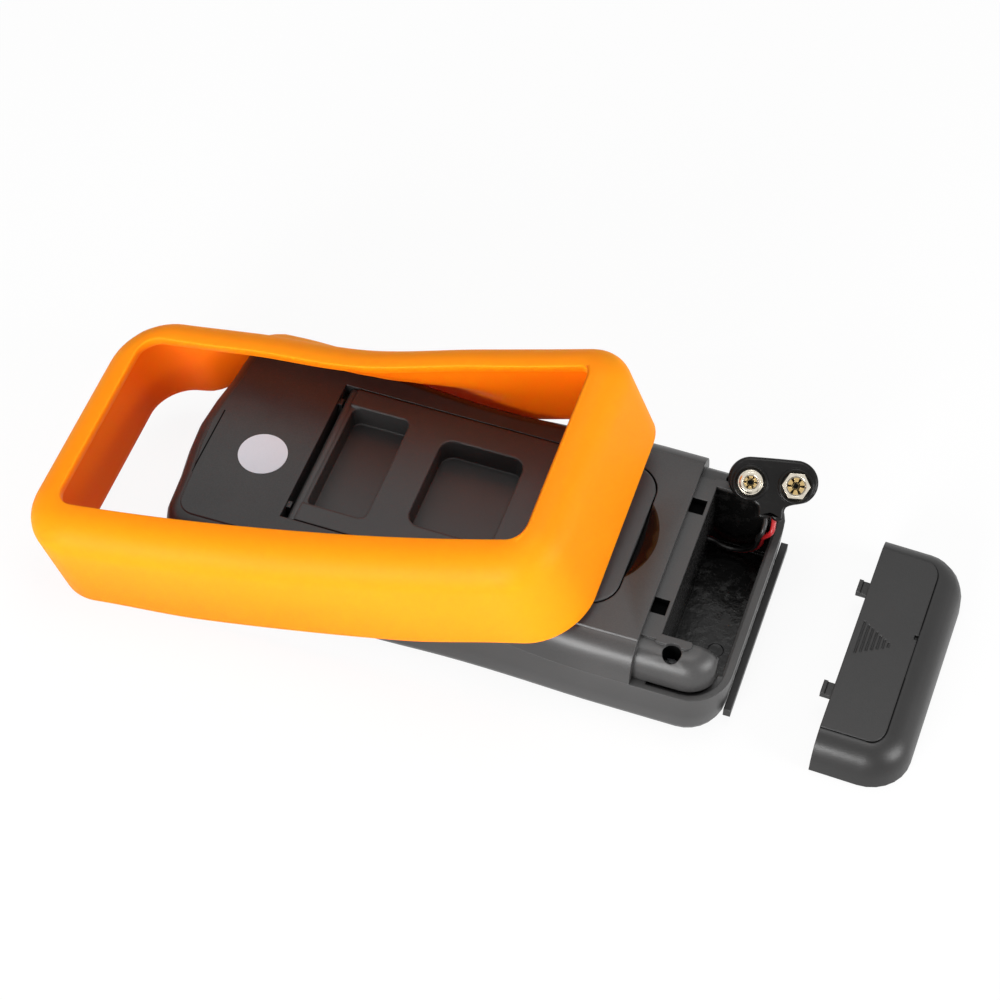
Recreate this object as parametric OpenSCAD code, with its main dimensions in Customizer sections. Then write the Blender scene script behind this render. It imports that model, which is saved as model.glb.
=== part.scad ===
/* [Case] */
// Length of the case from its top end to its battery end
case_length = 168.9; // [164:0.1:176]
// Half of the case's width at its top end, at the parting line
case_half = 37.6; // [36.8:0.2:37.8]
// Half of the case's width at its battery end, at the parting line
end_half = 38.4; // [37.6:0.2:40]
// Half of the case's width at its waist
waist_half = 35.2; // [34:0.2:36.5]
// Place of the waist along the case
waist_x = -4; // [-10:1:4]
// Distance over which the waist widens to full width
waist_reach = 48; // [40:1:56]
// Thickness of the case from the front rim to the back
case_thick = 29.5; // [29:0.5:33]
// How much less the front rim is drawn in at the waist than the parting line
rim_flare = 3; // [0:0.2:3.2]
// Height of the parting line above the front rim
parting_z = 17; // [16:0.5:18]
// Plan radius of the corners at the battery end
corner_r = 12; // [11:0.5:15]
// Plan radius of the corners at the top end
top_corner_r = 10; // [9.5:0.5:13]
// How far the top end bows out between its corners
top_bow = 3; // [1:0.5:5]
// Wall of both halves of the case
wall = 2.2; // [1.8:0.1:2.6]
// Height of the raised flat of the back above its rounded edge
plateau_step = 0.5; // [0.3:0.1:0.8]
// Distance of the raised flat's edge from the side of the case
plateau_inset = 6; // [5:0.25:7]

/* [Front] */
// Depth of the recessed face inside the front rim
face_recess = 1; // [0.8:0.1:1.4]
// Thickness of the printed face plate
plate_thick = 0.6; // [0.4:0.1:0.7]
// Width of the front rim round the face plate
rim_width = 4; // [3:0.5:5]
// Display window, along the case
window_x = 28; // [22:1:32]
// Display window, across the case
window_y = 48; // [40:1:52]
// Middle of the display window
window_at = -58; // [-58.5:0.5:-56]
// Thickness of the window lens
lens_thick = 1.4; // [1:0.1:1.8]
// Radius of the dish that the selector knob turns in
dish_r = 23; // [21:0.5:25]
// Depth of the dish below the face
dish_depth = 3.2; // [2.6:0.1:3.6]
// Running gap round moving pieces of the front
run_gap = 0.4; // [0.3:0.05:0.6]
// Radius of the push button caps
button_r = 4.5; // [3.5:0.25:5.5]
// Place of the push buttons along the case
button_x = -33; // [-35:0.5:-31]
// Distance of each push button from the middle line
button_y = 19; // [16:0.5:22]
// Travel of the push buttons
button_travel = 1.5; // [1:0.1:1.8]

/* [Jacks] */
// Distance between the two middle input jacks
jack_pitch = 19; // [17:0.5:20]
// Distance of the two outer jacks from the middle line
jack_outer = 27; // [25:0.5:27]
// Radius of the insulating collar round each jack
collar_r = 4; // [3.8:0.1:4.2]
// Bore radius of an input jack
jack_bore_r = 2; // [1.9:0.05:2.1]
// Outer radius of a jack's sleeve
jack_sleeve_r = 3; // [2.8:0.1:3.4]
// Depth of a jack's bore
jack_depth = 16; // [14:0.5:18]
// Place of the row of jacks along the case
jack_x = 50; // [48.5:0.5:50.5]

/* [Back] */
// Length of the tilt stand from its hinge to its free end
stand_length = 93.4; // [88:0.2:95]
// Half of the tilt stand's width
stand_half = 24.8; // [23:0.2:25]
// Thickness of the stand's plate
stand_thick = 3; // [2.6:0.1:3.4]
// Corner radius of the stand's free end
stand_corner_r = 9; // [6:0.5:12]
// Place of the stand's hinge axis along the case
hinge_x = -46.7; // [-48:0.1:-45]
// Radius of the stand's hinge barrel
barrel_r = 1.5; // [1.4:0.05:1.8]
// Radius of the stand's hinge nubs
nub_r = 1.2; // [1:0.05:1.3]
// Depth of the two pockets in the stand
pocket_depth = 7.5; // [6:0.5:8]
// Wall of the pockets
pocket_wall = 1.4; // [1:0.1:1.8]
// Gap round the closed stand
stand_gap = 0.4; // [0.3:0.05:0.6]
// Radius of the inspection sticker
sticker_r = 7.1; // [6:0.1:8]

/* [Battery end] */
// Place of the edge of the battery cover along the case
cover_line = 56.8; // [56:0.1:57.5]
// Wall of the battery cover
cover_wall = 2; // [1.7:0.1:2.2]
// Gap between the cover and what it slides over
cover_gap = 0.4; // [0.3:0.05:0.6]
// Battery compartment, along the case
bay_x = 17.6; // [17.2:0.1:17.6]
// Battery compartment, across the case
bay_y = 53; // [51:0.5:54]
// Width of the shelf between the cover's edge and the compartment
shelf_width = 5.2; // [4.8:0.1:5.4]
// Distance of each cover hook from the middle line
hook_y = 18; // [16:0.5:20]
// Width of a cover hook
hook_width = 4.4; // [3.6:0.1:5]
// Reach of a cover hook beyond the cover's edge
hook_reach = 3; // [2.5:0.1:4]
// How far off its seat the loose cover lies
cover_away = 52.6; // [40:0.2:70]
// Radius of the case screws' shanks
screw_r = 1.4; // [1.2:0.1:1.5]

/* [Holster] */
// Half of the holster's outer length
sleeve_half_length = 81.5; // [80:0.5:83]
// Half of the holster's outer width at its free end
sleeve_half_top = 41.2; // [40.8:0.2:43]
// Half of the holster's outer width at the end on the case
sleeve_half_end = 40.2; // [39.8:0.2:42]
// Depth of the holster's waist on its far side
sleeve_waist = 3.2; // [2:0.2:4]
// Height of the holster's walls
sleeve_height = 33.6; // [33:0.2:36]
// Thickness of the holster's walls
sleeve_wall = 3.2; // [2.6:0.1:3.4]
// Thickness of the holster's lip
lip_thick = 3; // [2.4:0.1:3.2]
// Width of the lip along the sides, with the wall
lip_side = 11.8; // [10:0.2:13]
// Width of the lip at the free end, with the wall
lip_top = 10.5; // [9:0.5:12]
// Width of the lip at the end on the case, with the wall
lip_end = 9.1; // [9.1:0.1:11]
// Rounding of the holster's outer edge
sleeve_round = 8.6; // [6:0.2:8.6]
// Plan radius of the holster's corners
sleeve_corner_r = 16.7; // [15:0.1:20]
// Slope of the pulled-up holster at its middle
sleeve_pitch = 10.3; // [10:0.1:13]
// Bend of the rubber along the holster, in degrees over its half length
sleeve_bend = 7.8; // [6:0.1:9]

/* [Hidden] */
$fn = 48;
cut = 0.02;
case_grey = "#464341";
black = "#1b1a1a";
orange = "#f99a1c";
brass = "#c9a45a";
steel = "#b9bcc0";

x_end = 82.5;
x_top = x_end - case_length;
end_pull = 1.4;
inset_slope = 0.16;
flare_x = -12;
flare_reach = 52;
side_steps = 16;
corner_steps = 7;
end_steps = 6;
big = 400;

// Heights inside the case
floor_z = face_recess + 2;
dish_floor = face_recess + dish_depth;
dish_top = dish_floor + 1.8;
board_z = 10;
board_thick = 1.6;
board_top = board_z + board_thick;

// Stand and its well
plate_z = case_thick - stand_thick;
barrel_drop = 0.7;
hinge_z = case_thick - barrel_r - barrel_drop;
slot_width = 3.1;
stand_end = hinge_x + stand_length;
stand_start = hinge_x + 1;
nub_reach = 2;
well_floor = case_thick - pocket_depth - pocket_wall - 0.7;
well_end = hinge_x + 58.5;
well_half = stand_half - 2.5;
pocket_1 = [hinge_x + 2, 17.6, 18.6];
pocket_2 = [hinge_x + 30.6, 25, 15.8];
notch_r = 20.3;
notch_x = stand_end - 14.7;
notch_lift = 50;

// Battery end
shelf_z = case_thick - 1.9;
block_z = shelf_z - 0.8;
bay_start = cover_line + shelf_width;
bay_end = bay_start + bay_x;
bay_half = bay_y / 2;
bay_wall = 1.5;
bay_floor = face_recess + 0.6;
cover_skin = 1.2;
block_inset = cover_wall + cover_gap;
cover_yaw = -1.5;
cover_aside = 0.8;
block_end = bay_end - 1.4;
hook_z = shelf_z - 0.4;
hook_nose = 0.5;
hook_thick = 1.6;
screw_at = [bay_start + 4.2, bay_half + 4.5];
screw_seat = 19;
screw_head_r = 2.4;

// Selector
knob_top = 0;
hub_r = 7.6;
disc_r = 18;
disc_z = dish_top + 0.3;
disc_thick = 2.3;
ball_r = 1.2;
ball_at = 17.2;
detent_count = 24;
ring_r = ball_at + ball_r + run_gap;

// Snap connector, lying with its terminals towards the viewer
snap_at = [77.2, 29.2, 33.5];
snap_turn = 13;
snap_lean = 37;
snap_half = 6.4;
snap_thick = 4;
stud_pitch = 12.7;
stud_drop = 1;
flange_r = 3.5;
flange_seat = 0.8;
neck_end = 9.5;
function snap_to(p) =
    let (v = cos(snap_lean) * p[1] - sin(snap_lean) * p[2])
    snap_at + [cos(snap_turn) * p[0] - sin(snap_turn) * v, sin(snap_turn) * p[0] + cos(snap_turn) * v,
        sin(snap_lean) * p[1] + cos(snap_lean) * p[2]];
function lead_start(u) = [for (d = [0.05, 1.4, 2.8]) snap_to([u, -neck_end - d, -snap_thick / 2])];

// Leads
lead_r = 0.7;
lead_red_path = concat(lead_start(1.2), [[80.2, 19.6, 22.6], [78.5, 20.4, 19], [77.6, 22.6, 15],
    [77.2, 24, 11], [76, 24.8, 7], [73, 25, 4], [69, 25, 2.6], [65.5, 25, 3.2], [63, 24.8, 4.8],
    [61.2, 24.7, 5.6], [59.2, 24.5, 6.2], [57.2, 24.2, 7.2], [56.3, 24, 8.6], [56.2, 24, 9.9]]);
lead_black_path = concat(lead_start(-1.2), [[77.8, 18.8, 22.6], [76.8, 18.9, 19.4], [76.5, 20.8, 16],
    [76.2, 22.4, 12.3], [75.2, 23.4, 8.6], [73, 24, 5.6], [69.1, 24, 4.1], [65.6, 23.9, 4.8], [63.1, 23.6, 6.4],
    [61.2, 23.2, 7], [59.2, 22.5, 7], [57.2, 22, 7.4], [56.3, 21.8, 8.6], [56.2, 21.8, 9.9]]);
lead_gate = 12;
lead_hole_r = lead_r + 0.5;

// Flexed holster
sleeve_at = [-35.4, -6.1, 14.55];
sleeve_yaw = -2.6;
sleeve_roll = 7.2;
sleeve_rack = 7;
sleeve_bulge = 0.5;
sleeve_push = 11.6;
push_top = 15;
push_fall = 0.175;
push_blend = 7;
push_thin = 1;
push_from = -60;
push_rise = 21;
push_to = 50;
push_fade = 60;
waist_at = -1.5;
waist_span = 37.5;
window_corner_r = 4;
lip_edge = 0.45;
corner_draw = 0.8;
inner_tight = 2.6;

function smooth(u) = let (c = max(0, min(1, u))) c * c * (3 - 2 * c);
function half_width(x) =
    waist_half + ((x < waist_x ? case_half : end_half) - waist_half) * smooth(abs(x - waist_x) / waist_reach);
// Extra half width of the front half, most at the middle of the flare
function flare(x) = rim_flare * (1 - smooth(abs(x - flare_x) / flare_reach));
// Inset that grows a little towards the battery end
function drawn(d, x) = d * (1 + inset_slope * x / x_end);

// Places along a side from one x to another, close together where the waist curves
function side_places(from, to) =
    let (low = max(min(from, to) + 1, waist_x - waist_reach), high = min(max(from, to) - 1, waist_x + waist_reach))
    let (first = from < to ? low : high, last = from < to ? high : low)
    concat([from], [for (i = [0 : side_steps]) first + (last - first) * i / side_steps], [to]);

// Plan outline of the case, drawn in by d all round, with a share f of the front half's flare
function outline(d, f = 0) =
    let (xa = x_top + top_bow + top_corner_r)
    let (xb = x_end - corner_r)
    let (ya = half_width(xa) - top_corner_r)
    let (yb = half_width(xb) - corner_r)
    let (ra = max(0.4, top_corner_r - drawn(d, xa)))
    let (rb = max(0.4, corner_r - drawn(d, xb)))
    let (rx = max(0.4, corner_r - end_pull * d))
    concat(
        [for (x = side_places(xa, xb)) [x, drawn(d, x) - half_width(x) - f * flare(x)]],
        [for (k = [1 : corner_steps]) let (a = -90 + 90 * k / corner_steps) [xb + rx * cos(a), rb * sin(a) - yb]],
        [for (k = [0 : corner_steps - 1]) let (a = 90 * k / corner_steps) [xb + rx * cos(a), yb + rb * sin(a)]],
        [for (x = side_places(xb, xa)) [x, half_width(x) + f * flare(x) - drawn(d, x)]],
        [for (k = [1 : corner_steps]) let (a = 90 + 90 * k / corner_steps) [xa + ra * cos(a), ya + ra * sin(a)]],
        [for (j = [1 : end_steps - 1]) let (u = 1 - 2 * j / end_steps)
            [x_top + top_bow * smooth(abs(u)) + top_corner_r - ra, u * ya]],
        [for (k = [0 : corner_steps - 1]) let (a = 180 + 90 * k / corner_steps) [xa + ra * cos(a), ra * sin(a) - ya]]);

// Triangles across an outline of n points, from its battery end to the point in the middle of its top end
function cap_strips(n) =
    let (e = len(side_places(0, 1)) + corner_steps)
    let (pairs = (n - 1) / 2)
    [for (k = [0 : pairs - 1])
        let (a = (e - 1 - k + n) % n, b = e + k, c = (e - 2 - k + n) % n)
        each k < pairs - 1 ? [[c, a, b], [c, b, b + 1]] : [[c, a, b]]];

// Solid between stacked outlines, each given as [height, inset, share of the flare]
module loft(levels) {
    rings = [for (l = levels) [for (p = outline(l[1], l[2])) [p[0], p[1], l[0]]]];
    n = len(rings[0]);
    last = (len(rings) - 1) * n;
    cap = cap_strips(n);
    polyhedron(
        points = [for (ring = rings) each ring],
        faces = concat(
            cap,
            [for (f = cap) [last + f[2], last + f[1], last + f[0]]],
            [for (r = [0 : len(rings) - 2]) for (i = [0 : n - 1]) let (j = (i + 1) % n)
                each [[r * n + i, (r + 1) * n + i, (r + 1) * n + j], [r * n + i, (r + 1) * n + j, r * n + j]]]));
}

// Straight-sided solid on the inset outline
module prism(d, z0, z1) {
    translate([0, 0, z0]) linear_extrude(z1 - z0) polygon(outline(d));
}

// Box given by its lowest and highest corners
module block(low, high) {
    translate(low) cube(high - low);
}

module rod(p, r, z0, z1) {
    translate([p[0], p[1], z0]) cylinder(r = r, h = z1 - z0);
}

// Rounded rectangle from x0 to x1, between -half and half
module rounded(x0, x1, half, r) {
    translate([x0 + r, -half]) square([x1 - x0 - 2 * r, 2 * half]);
    translate([x0, r - half]) square([x1 - x0, 2 * half - 2 * r]);
    for (x = [x0 + r, x1 - r], y = [r - half, half - r]) translate([x, y]) circle(r);
}

module mirrored() {
    children();
    mirror([0, 1, 0]) children();
}

// Outer form of the back half, which the loose cover shares
module back_form() {
    rise = case_thick - parting_z;
    edge = case_thick - plateau_step;
    loft([[parting_z, 0, 0], [parting_z + 0.36 * rise, 0.25, 0], [parting_z + 0.6 * rise, 0.9, 0],
        [parting_z + 0.78 * rise, 2, 0], [edge - 0.9, 3.6, 0], [edge - 0.15, 5, 0], [edge, plateau_inset - 0.3, 0],
        [edge, plateau_inset - 0.25, 0], [case_thick, plateau_inset, 0]]);
}

module front_case() {
    color(case_grey) difference() {
        union() {
            difference() {
                loft([[0, 3, 1], [0.5, 1.9, 1], [1.4, 1.1, 1], [3.2, 0.6, 0.97], [0.5 * parting_z, 0.3, 0.6],
                    [0.8 * parting_z, 0.1, 0.16], [parting_z, 0, 0]]);
                prism(wall + 0.6, floor_z, parting_z + 1);
            }
            rod([0, 0], dish_r + 1.8, floor_z - 1, dish_top);
            mirrored() rod(screw_at, 3, floor_z - 1, parting_z - cut);
            mirrored() board_posts();
        }
        prism(rim_width + 2, -1, face_recess);
        rod([0, 0], dish_r, -1, dish_floor);
        rod([0, 0], hub_r + run_gap, -1, dish_top + 1);
        block([window_at - window_x / 2, -window_y / 2, -1], [window_at + window_x / 2, window_y / 2, floor_z + 1]);
        mirrored() rod([button_x, button_y], button_r + run_gap, -1, floor_z + 1);
        for (y = jack_y) rod([jack_x, y], collar_r + run_gap / 2, -1, floor_z + 1);
        mirrored() rod(screw_at, screw_r - 0.25, floor_z + 2, parting_z + 1);
        mirrored() for (p = board_screw_at) rod(p, board_screw_r - 0.2, floor_z + 1, board_z + 1);
        block([bay_start, -bay_half, bay_floor], [bay_end, bay_half, big]);
        bay_rabbet();
        floor_marks();
    }
}

board_screw_r = 1.1;
board_screw_at = [[-36, case_half - wall - 6.8], [37, end_half - wall - 6.6]];
module board_posts() {
    for (p = board_screw_at) rod(p, 2.4, floor_z - 1, board_z);
}

// Step along the inside of the end wall, which the cover's end rests in
module bay_rabbet() {
    intersection() {
        prism(wall - 0.7, parting_z - 1.2, parting_z + 1);
        block([cover_line + 4, -big, 0], [big, big, big]);
    }
}

// Shallow round mould marks in the floor of the battery compartment
module floor_marks() {
    for (p = [[bay_start + 5, -bay_half + 10], [bay_start + 12, -bay_half + 17]])
        rod(p, 2.2, bay_floor - 0.3, floor_z);
}

module back_case() {
    color(case_grey) difference() {
        union() {
            difference() {
                intersection() {
                    back_form();
                    block([-big, -big, 0], [cover_line, big, big]);
                }
                back_cavity();
            }
            stand_bed();
            battery_block();
        }
        difference() {
            stand_recess();
            mirrored() hinge_ear();
        }
        finger_notch();
        battery_bay();
        mirrored() hook_slot();
        mirrored() screw_hole();
        top_slit();
        lead_holes();
    }
}

// Stepped hollow that stays inside the rounded back
module back_cavity() {
    rise = case_thick - parting_z;
    intersection() {
        union() {
            prism(wall + 0.6, parting_z - 1, parting_z + 0.4 * rise);
            prism(wall + 2.6, parting_z, parting_z + 0.66 * rise);
            prism(wall + 5, parting_z, case_thick - wall);
        }
        block([-big, -big, 0], [cover_line - wall, big, big]);
    }
}

// Floor and sides of the well that takes the stand
module stand_bed() {
    block([hinge_x - 5.4, -well_half - 1.6, well_floor - 1.4], [well_end + 1.6, well_half + 1.6, plate_z]);
    block([hinge_x - 5.4, -stand_half - 3.4, plate_z - 2], [stand_end + 2, stand_half + 3.4, case_thick - wall + cut]);
}

module stand_recess() {
    translate([0, 0, plate_z - stand_gap]) linear_extrude(big)
        rounded(hinge_x - slot_width, stand_end + stand_gap, stand_half + stand_gap, stand_corner_r);
    block([hinge_x - slot_width, -stand_half - stand_gap, plate_z - stand_gap],
        [hinge_x + 20, stand_half + stand_gap, big]);
    block([hinge_x - slot_width, -well_half, well_floor], [well_end, well_half, big]);
    block([hinge_x - slot_width, -stand_half - stand_gap, hinge_z - barrel_r - stand_gap],
        [hinge_x + 3, stand_half + stand_gap, big]);
    translate([hinge_x, 0, hinge_z]) rotate([90, 0, 0])
        cylinder(r = nub_r + 0.1, h = 2 * (stand_half + nub_reach + 0.4), center = true);
}

// Ear beside each end of the hinge barrel
module hinge_ear() {
    ear_width = 2.2;
    block([hinge_x - slot_width - 1, stand_half - 4 - ear_width, 0],
        [hinge_x - barrel_r - stand_gap, stand_half - 4, hinge_z + 1]);
}

// Dished scoop for a fingertip at the stand's free end
module finger_notch() {
    intersection() {
        translate([notch_x, 0, case_thick + notch_lift]) rotate([90, 90, 0])
            sphere(r = sqrt(notch_r * notch_r + notch_lift * notch_lift), $fn = 96);
        block([stand_end - 2, -big, 0], [big, big, big]);
    }
}

// Shelf, corner blocks and partitions that the cover hides
module battery_block() {
    rise = block_z - parting_z;
    difference() {
        intersection() {
            loft([[parting_z, block_inset, 0], [parting_z + 0.55 * rise, block_inset + 0.2, 0],
                [parting_z + 0.8 * rise, block_inset + 1.2, 0], [block_z - 0.4, block_inset + 2.8, 0],
                [block_z, block_inset + 4.4, 0]]);
            block([cover_line - wall, -big, 0], [block_end, big, big]);
        }
        block([cover_line + cut, -bay_half - bay_wall, parting_z - 1],
            [bay_start - bay_wall, bay_half + bay_wall, shelf_z - 3.6]);
    }
    translate([0, 0, parting_z]) linear_extrude(shelf_z - parting_z) {
        translate([cover_line - wall, -bay_half - 2]) square([bay_start - cover_line + wall, 2 * bay_half + 4]);
        for (s = [-1, 1]) {
            translate([bay_start - 1, s * (bay_half + 1) - 1.8]) square([8, 3.6]);
            translate([bay_start + 7, s * (bay_half + 1)]) circle(1.8);
        }
    }
    block([bay_start - bay_wall, -bay_half - bay_wall, floor_z + 0.3], [bay_start + cut, bay_half + bay_wall, parting_z + 1]);
    for (s = [0, 1]) mirror([0, s, 0])
        block([bay_start - bay_wall, bay_half, floor_z + 0.3], [block_end - 2, bay_half + bay_wall, parting_z + 1]);
}

module battery_bay() {
    block([bay_start, -bay_half, floor_z], [big, bay_half, big]);
}

module hook_slot() {
    block([cover_line - hook_reach - 0.6, hook_y - hook_width / 2 - 0.4, hook_z - hook_thick - 0.5],
        [bay_start - 1, hook_y + hook_width / 2 + 0.4, hook_z + hook_nose + 0.4]);
    block([cover_line + 0.2, hook_y - hook_width / 2 - 0.4, hook_z - hook_thick - 0.5],
        [bay_start - 1, hook_y + hook_width / 2 + 0.4, big]);
}

module screw_hole() {
    rod(screw_at, screw_head_r + 0.2, screw_seat, big);
    rod(screw_at, screw_r + 0.2, 0, screw_seat + 1);
}

// Narrow moulded slit across the top end
module top_slit() {
    half = 12.4;
    intersection() {
        difference() {
            prism(-2, parting_z + 3.4, parting_z + 4.5);
            prism(1.7, parting_z, parting_z + 9);
        }
        block([x_top - 5, -half, 0], [x_top + 10, half, big]);
    }
}

module lead_holes() {
    for (path = [lead_red_path, lead_black_path])
        translate([bay_start, path[lead_gate][1], path[lead_gate][2]]) rotate([0, 90, 0])
            cylinder(r = lead_hole_r, h = 4 * bay_wall, center = true);
}

// Dark rib along the foot of the end wall, which catches the holster
module end_rib() {
    rib_half = 30;
    rib_bed = 0.05 - 0.45 * end_pull;
    color(black) difference() {
        translate([0, -rib_half, 2.4]) cube([x_end + 1.5, 2 * rib_half, 3]);
        block([-1, -big, 0], [x_end + rib_bed, big, big]);
    }
}

// Printed plate inside the front rim
module face_plate() {
    color(black) difference() {
        prism(rim_width + 2.4, face_recess - plate_thick, face_recess);
        rod([0, 0], dish_r + 0.5, -1, 2);
        block([window_at - window_x / 2, -window_y / 2, -1], [window_at + window_x / 2, window_y / 2, 2]);
        mirrored() rod([button_x, button_y], button_r + run_gap, -1, 2);
        for (y = jack_y) rod([jack_x, y], collar_r + run_gap / 2, -1, 2);
    }
}

lens_edge = 2.2;
lens_z = floor_z + lens_thick;
glass_thick = 2.8;
glass_z = lens_z + 0.2;
module window_lens() {
    color("#bcd0d6", 0.5)
        block([window_at - window_x / 2 - lens_edge, -window_y / 2 - lens_edge, floor_z],
            [window_at + window_x / 2 + lens_edge, window_y / 2 + lens_edge, lens_z]);
}

module display_glass() {
    color("#9fae9a")
        block([window_at - window_x / 2 - 1.6, -window_y / 2 - 1.6, glass_z],
            [window_at + window_x / 2 + 1.6, window_y / 2 + 1.6, glass_z + glass_thick]);
}

frame_edge = lens_edge + 0.2;
module display_frame() {
    color("#d8d6cf") difference() {
        block([window_at - window_x / 2 - frame_edge - 1.3, -window_y / 2 - frame_edge - 1.3, floor_z],
            [window_at + window_x / 2 + frame_edge + 1.3, window_y / 2 + frame_edge + 1.3, board_z]);
        block([window_at - window_x / 2 - frame_edge, -window_y / 2 - frame_edge, floor_z - 1],
            [window_at + window_x / 2 + frame_edge, window_y / 2 + frame_edge, board_z + 1]);
    }
}

// Two rubber contact strips between the glass and the board
module display_strips() {
    color("#5d5d60") for (s = [-1, 1])
        translate([window_at + s * (window_x / 2 - 0.4), 0, glass_z + glass_thick])
            translate([-1, 2 - window_y / 2, 0]) cube([2, window_y - 4, board_z - glass_z - glass_thick]);
}

module main_board() {
    color("#2f6b43") difference() {
        intersection() {
            prism(wall + 2.2, board_z, board_top);
            block([x_top + 5, -big, 0], [cover_line, big, big]);
        }
        for (y = jack_y) rod([jack_x, y], jack_sleeve_r + 0.2, 0, big);
        mirrored() for (p = board_screw_at) rod(p, board_screw_r + 0.2, 0, big);
    }
}

chip_body = 14;
chip_thick = 2.2;
leg_pitch = 1.1;
leg_width = 0.4;
leg_length = 1.6;
module measuring_chip() {
    legs = 11;
    color(black) {
        translate([-chip_body / 2, -chip_body / 2, board_top + 0.3]) cube([chip_body, chip_body, chip_thick]);
        for (a = [0 : 90 : 270]) rotate(a) for (i = [0 : legs - 1])
            translate([chip_body / 2 - cut, (i - (legs - 1) / 2) * leg_pitch - leg_width / 2, board_top])
                cube([leg_length, leg_width, 1.5 * leg_width]);
    }
}

pot_side = 6;
pot_height = 4.6;
pot_y = waist_half - wall - pot_side - 1;
module trim_pots() {
    color("#3b6ea8") for (x = [-22, -14, -6]) difference() {
        translate([x - pot_side / 2, pot_y - pot_side / 2, board_top]) cube([pot_side, pot_side, pot_height]);
        rod([x, pot_y], 0.3 * pot_side, board_top + pot_height - 1.2, big);
    }
}

fuse_r = 2.5;
fuse_length = 20;
fuse_x = 28;
fuse_y = 19;
fuse_z = board_top + fuse_r + 0.8;
module fuses() {
    color("#dfe4e2") for (y = [-fuse_y, fuse_y])
        translate([fuse_x, y, fuse_z]) rotate([0, 90, 0]) cylinder(r = fuse_r, h = fuse_length, center = true);
}

// Spring clips that hold the ends of each fuse
module fuse_clips() {
    color(brass) for (y = [-fuse_y, fuse_y], s = [-1, 1]) translate([fuse_x + s * (fuse_length / 2 - 3), y, 0])
        difference() {
            block([-2, -fuse_r - 0.6, board_top], [2, fuse_r + 0.6, fuse_z + 1.4]);
            translate([0, 0, fuse_z]) rotate([0, 90, 0]) cylinder(r = fuse_r + 0.05, h = 9, center = true);
            block([-3, -1.6, fuse_z], [3, 1.6, big]);
        }
}

// Thick bent wire that carries the large current
module current_shunt() {
    wire_r = 0.9;
    span = 6;
    foot = 2.4;
    color("#a8744f") translate([40, 0, board_top]) {
        for (s = [-1, 1]) translate([0, s * span, 0]) cylinder(r = wire_r, h = foot);
        intersection() {
            translate([0, 0, foot]) rotate([0, 90, 0]) rotate_extrude() translate([span, 0]) circle(wire_r, $fn = 24);
            block([-5, -20, foot - cut], [5, 20, 20]);
        }
    }
}

buzzer_x = 25;
buzzer_r = 9;
buzzer_height = 5;
buzzer_hole_r = 1.2;
module buzzer() {
    color(black) difference() {
        rod([buzzer_x, 0], buzzer_r, board_top, board_top + buzzer_height);
        rod([buzzer_x, 0], buzzer_hole_r, board_top + 0.6 * buzzer_height, big);
    }
}

jack_y = [-jack_outer, -jack_pitch / 2, jack_pitch / 2, jack_outer];
jack_block_half = 4.8;
jack_block_y = jack_outer + 5;
jack_mouth = face_recess + 0.6;
module jack_block() {
    color(black) difference() {
        union() {
            translate([jack_x, 0, floor_z]) linear_extrude(board_z - floor_z)
                rounded(-jack_block_half, jack_block_half, jack_block_y, 2);
            for (y = jack_y) rod([jack_x, y], collar_r, face_recess - plate_thick, floor_z + 1);
        }
        for (y = jack_y) rod([jack_x, y], jack_sleeve_r, 0, big);
    }
}

module jack_sleeves() {
    color(brass) for (y = jack_y) difference() {
        rod([jack_x, y], jack_sleeve_r, jack_mouth, jack_mouth + jack_depth + 1);
        rod([jack_x, y], jack_bore_r, 0, jack_mouth + jack_depth);
    }
}

// Low knob with a pointer bar across its skirt
module selector_knob() {
    skirt_z = dish_floor - 1.6;
    color(black) difference() {
        union() {
            rod([0, 0], dish_r - run_gap, skirt_z, dish_floor - 0.2);
            intersection() {
                block([-dish_r, -4.6, knob_top], [dish_r, 4.6, skirt_z + 0.4]);
                rod([0, 0], dish_r - 1.4, 0, 5);
            }
            rod([0, 0], hub_r, skirt_z, disc_z);
        }
        block([-dish_r + 2.4, -0.6, knob_top - 1], [-dish_r + 12, 0.6, knob_top + 0.5]);
    }
}

// Disc behind the face that carries the wipers and the detent balls
module wiper_disc() {
    color("#cfcac0") difference() {
        rod([0, 0], disc_r, disc_z, disc_z + disc_thick - wiper_thick);
        for (s = [-1, 1]) translate([s * disc_r, 0, disc_z + 1]) rotate([0, 90, 0])
            cylinder(r = 0.9, h = 18, center = true);
        for (s = [-1, 1]) translate([s * ball_at, 0, disc_z + 1]) sphere(r = ball_r + 0.06);
    }
}

wiper_start = 5;
wiper_end = 15;
wiper_half = 1.5;
wiper_thick = 0.3;
module wiper_contacts() {
    top = disc_z + disc_thick;
    color(brass) for (a = [30, 150, 270]) rotate(a) {
        block([wiper_start, -wiper_half, top - wiper_thick], [wiper_end, wiper_half, top]);
        block([wiper_end - 1.6 * wiper_half, -wiper_half, top - cut],
            [wiper_end - 0.5 * wiper_half, wiper_half, board_z - 0.05]);
    }
}

// Scalloped ring that gives the selector its clicks
module detent_ring() {
    color("#cfcac0") difference() {
        rod([0, 0], dish_r + 0.6, dish_top, disc_z + disc_thick);
        rod([0, 0], ring_r, 0, big);
        for (i = [0 : detent_count - 1]) rotate(360 / detent_count * i) rod([ring_r, 0], ball_r + 0.4, 0, big);
    }
}

module detent_balls() {
    color(steel) for (s = [-1, 1]) translate([s * ball_at, 0, disc_z + 1]) sphere(r = ball_r);
}

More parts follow.
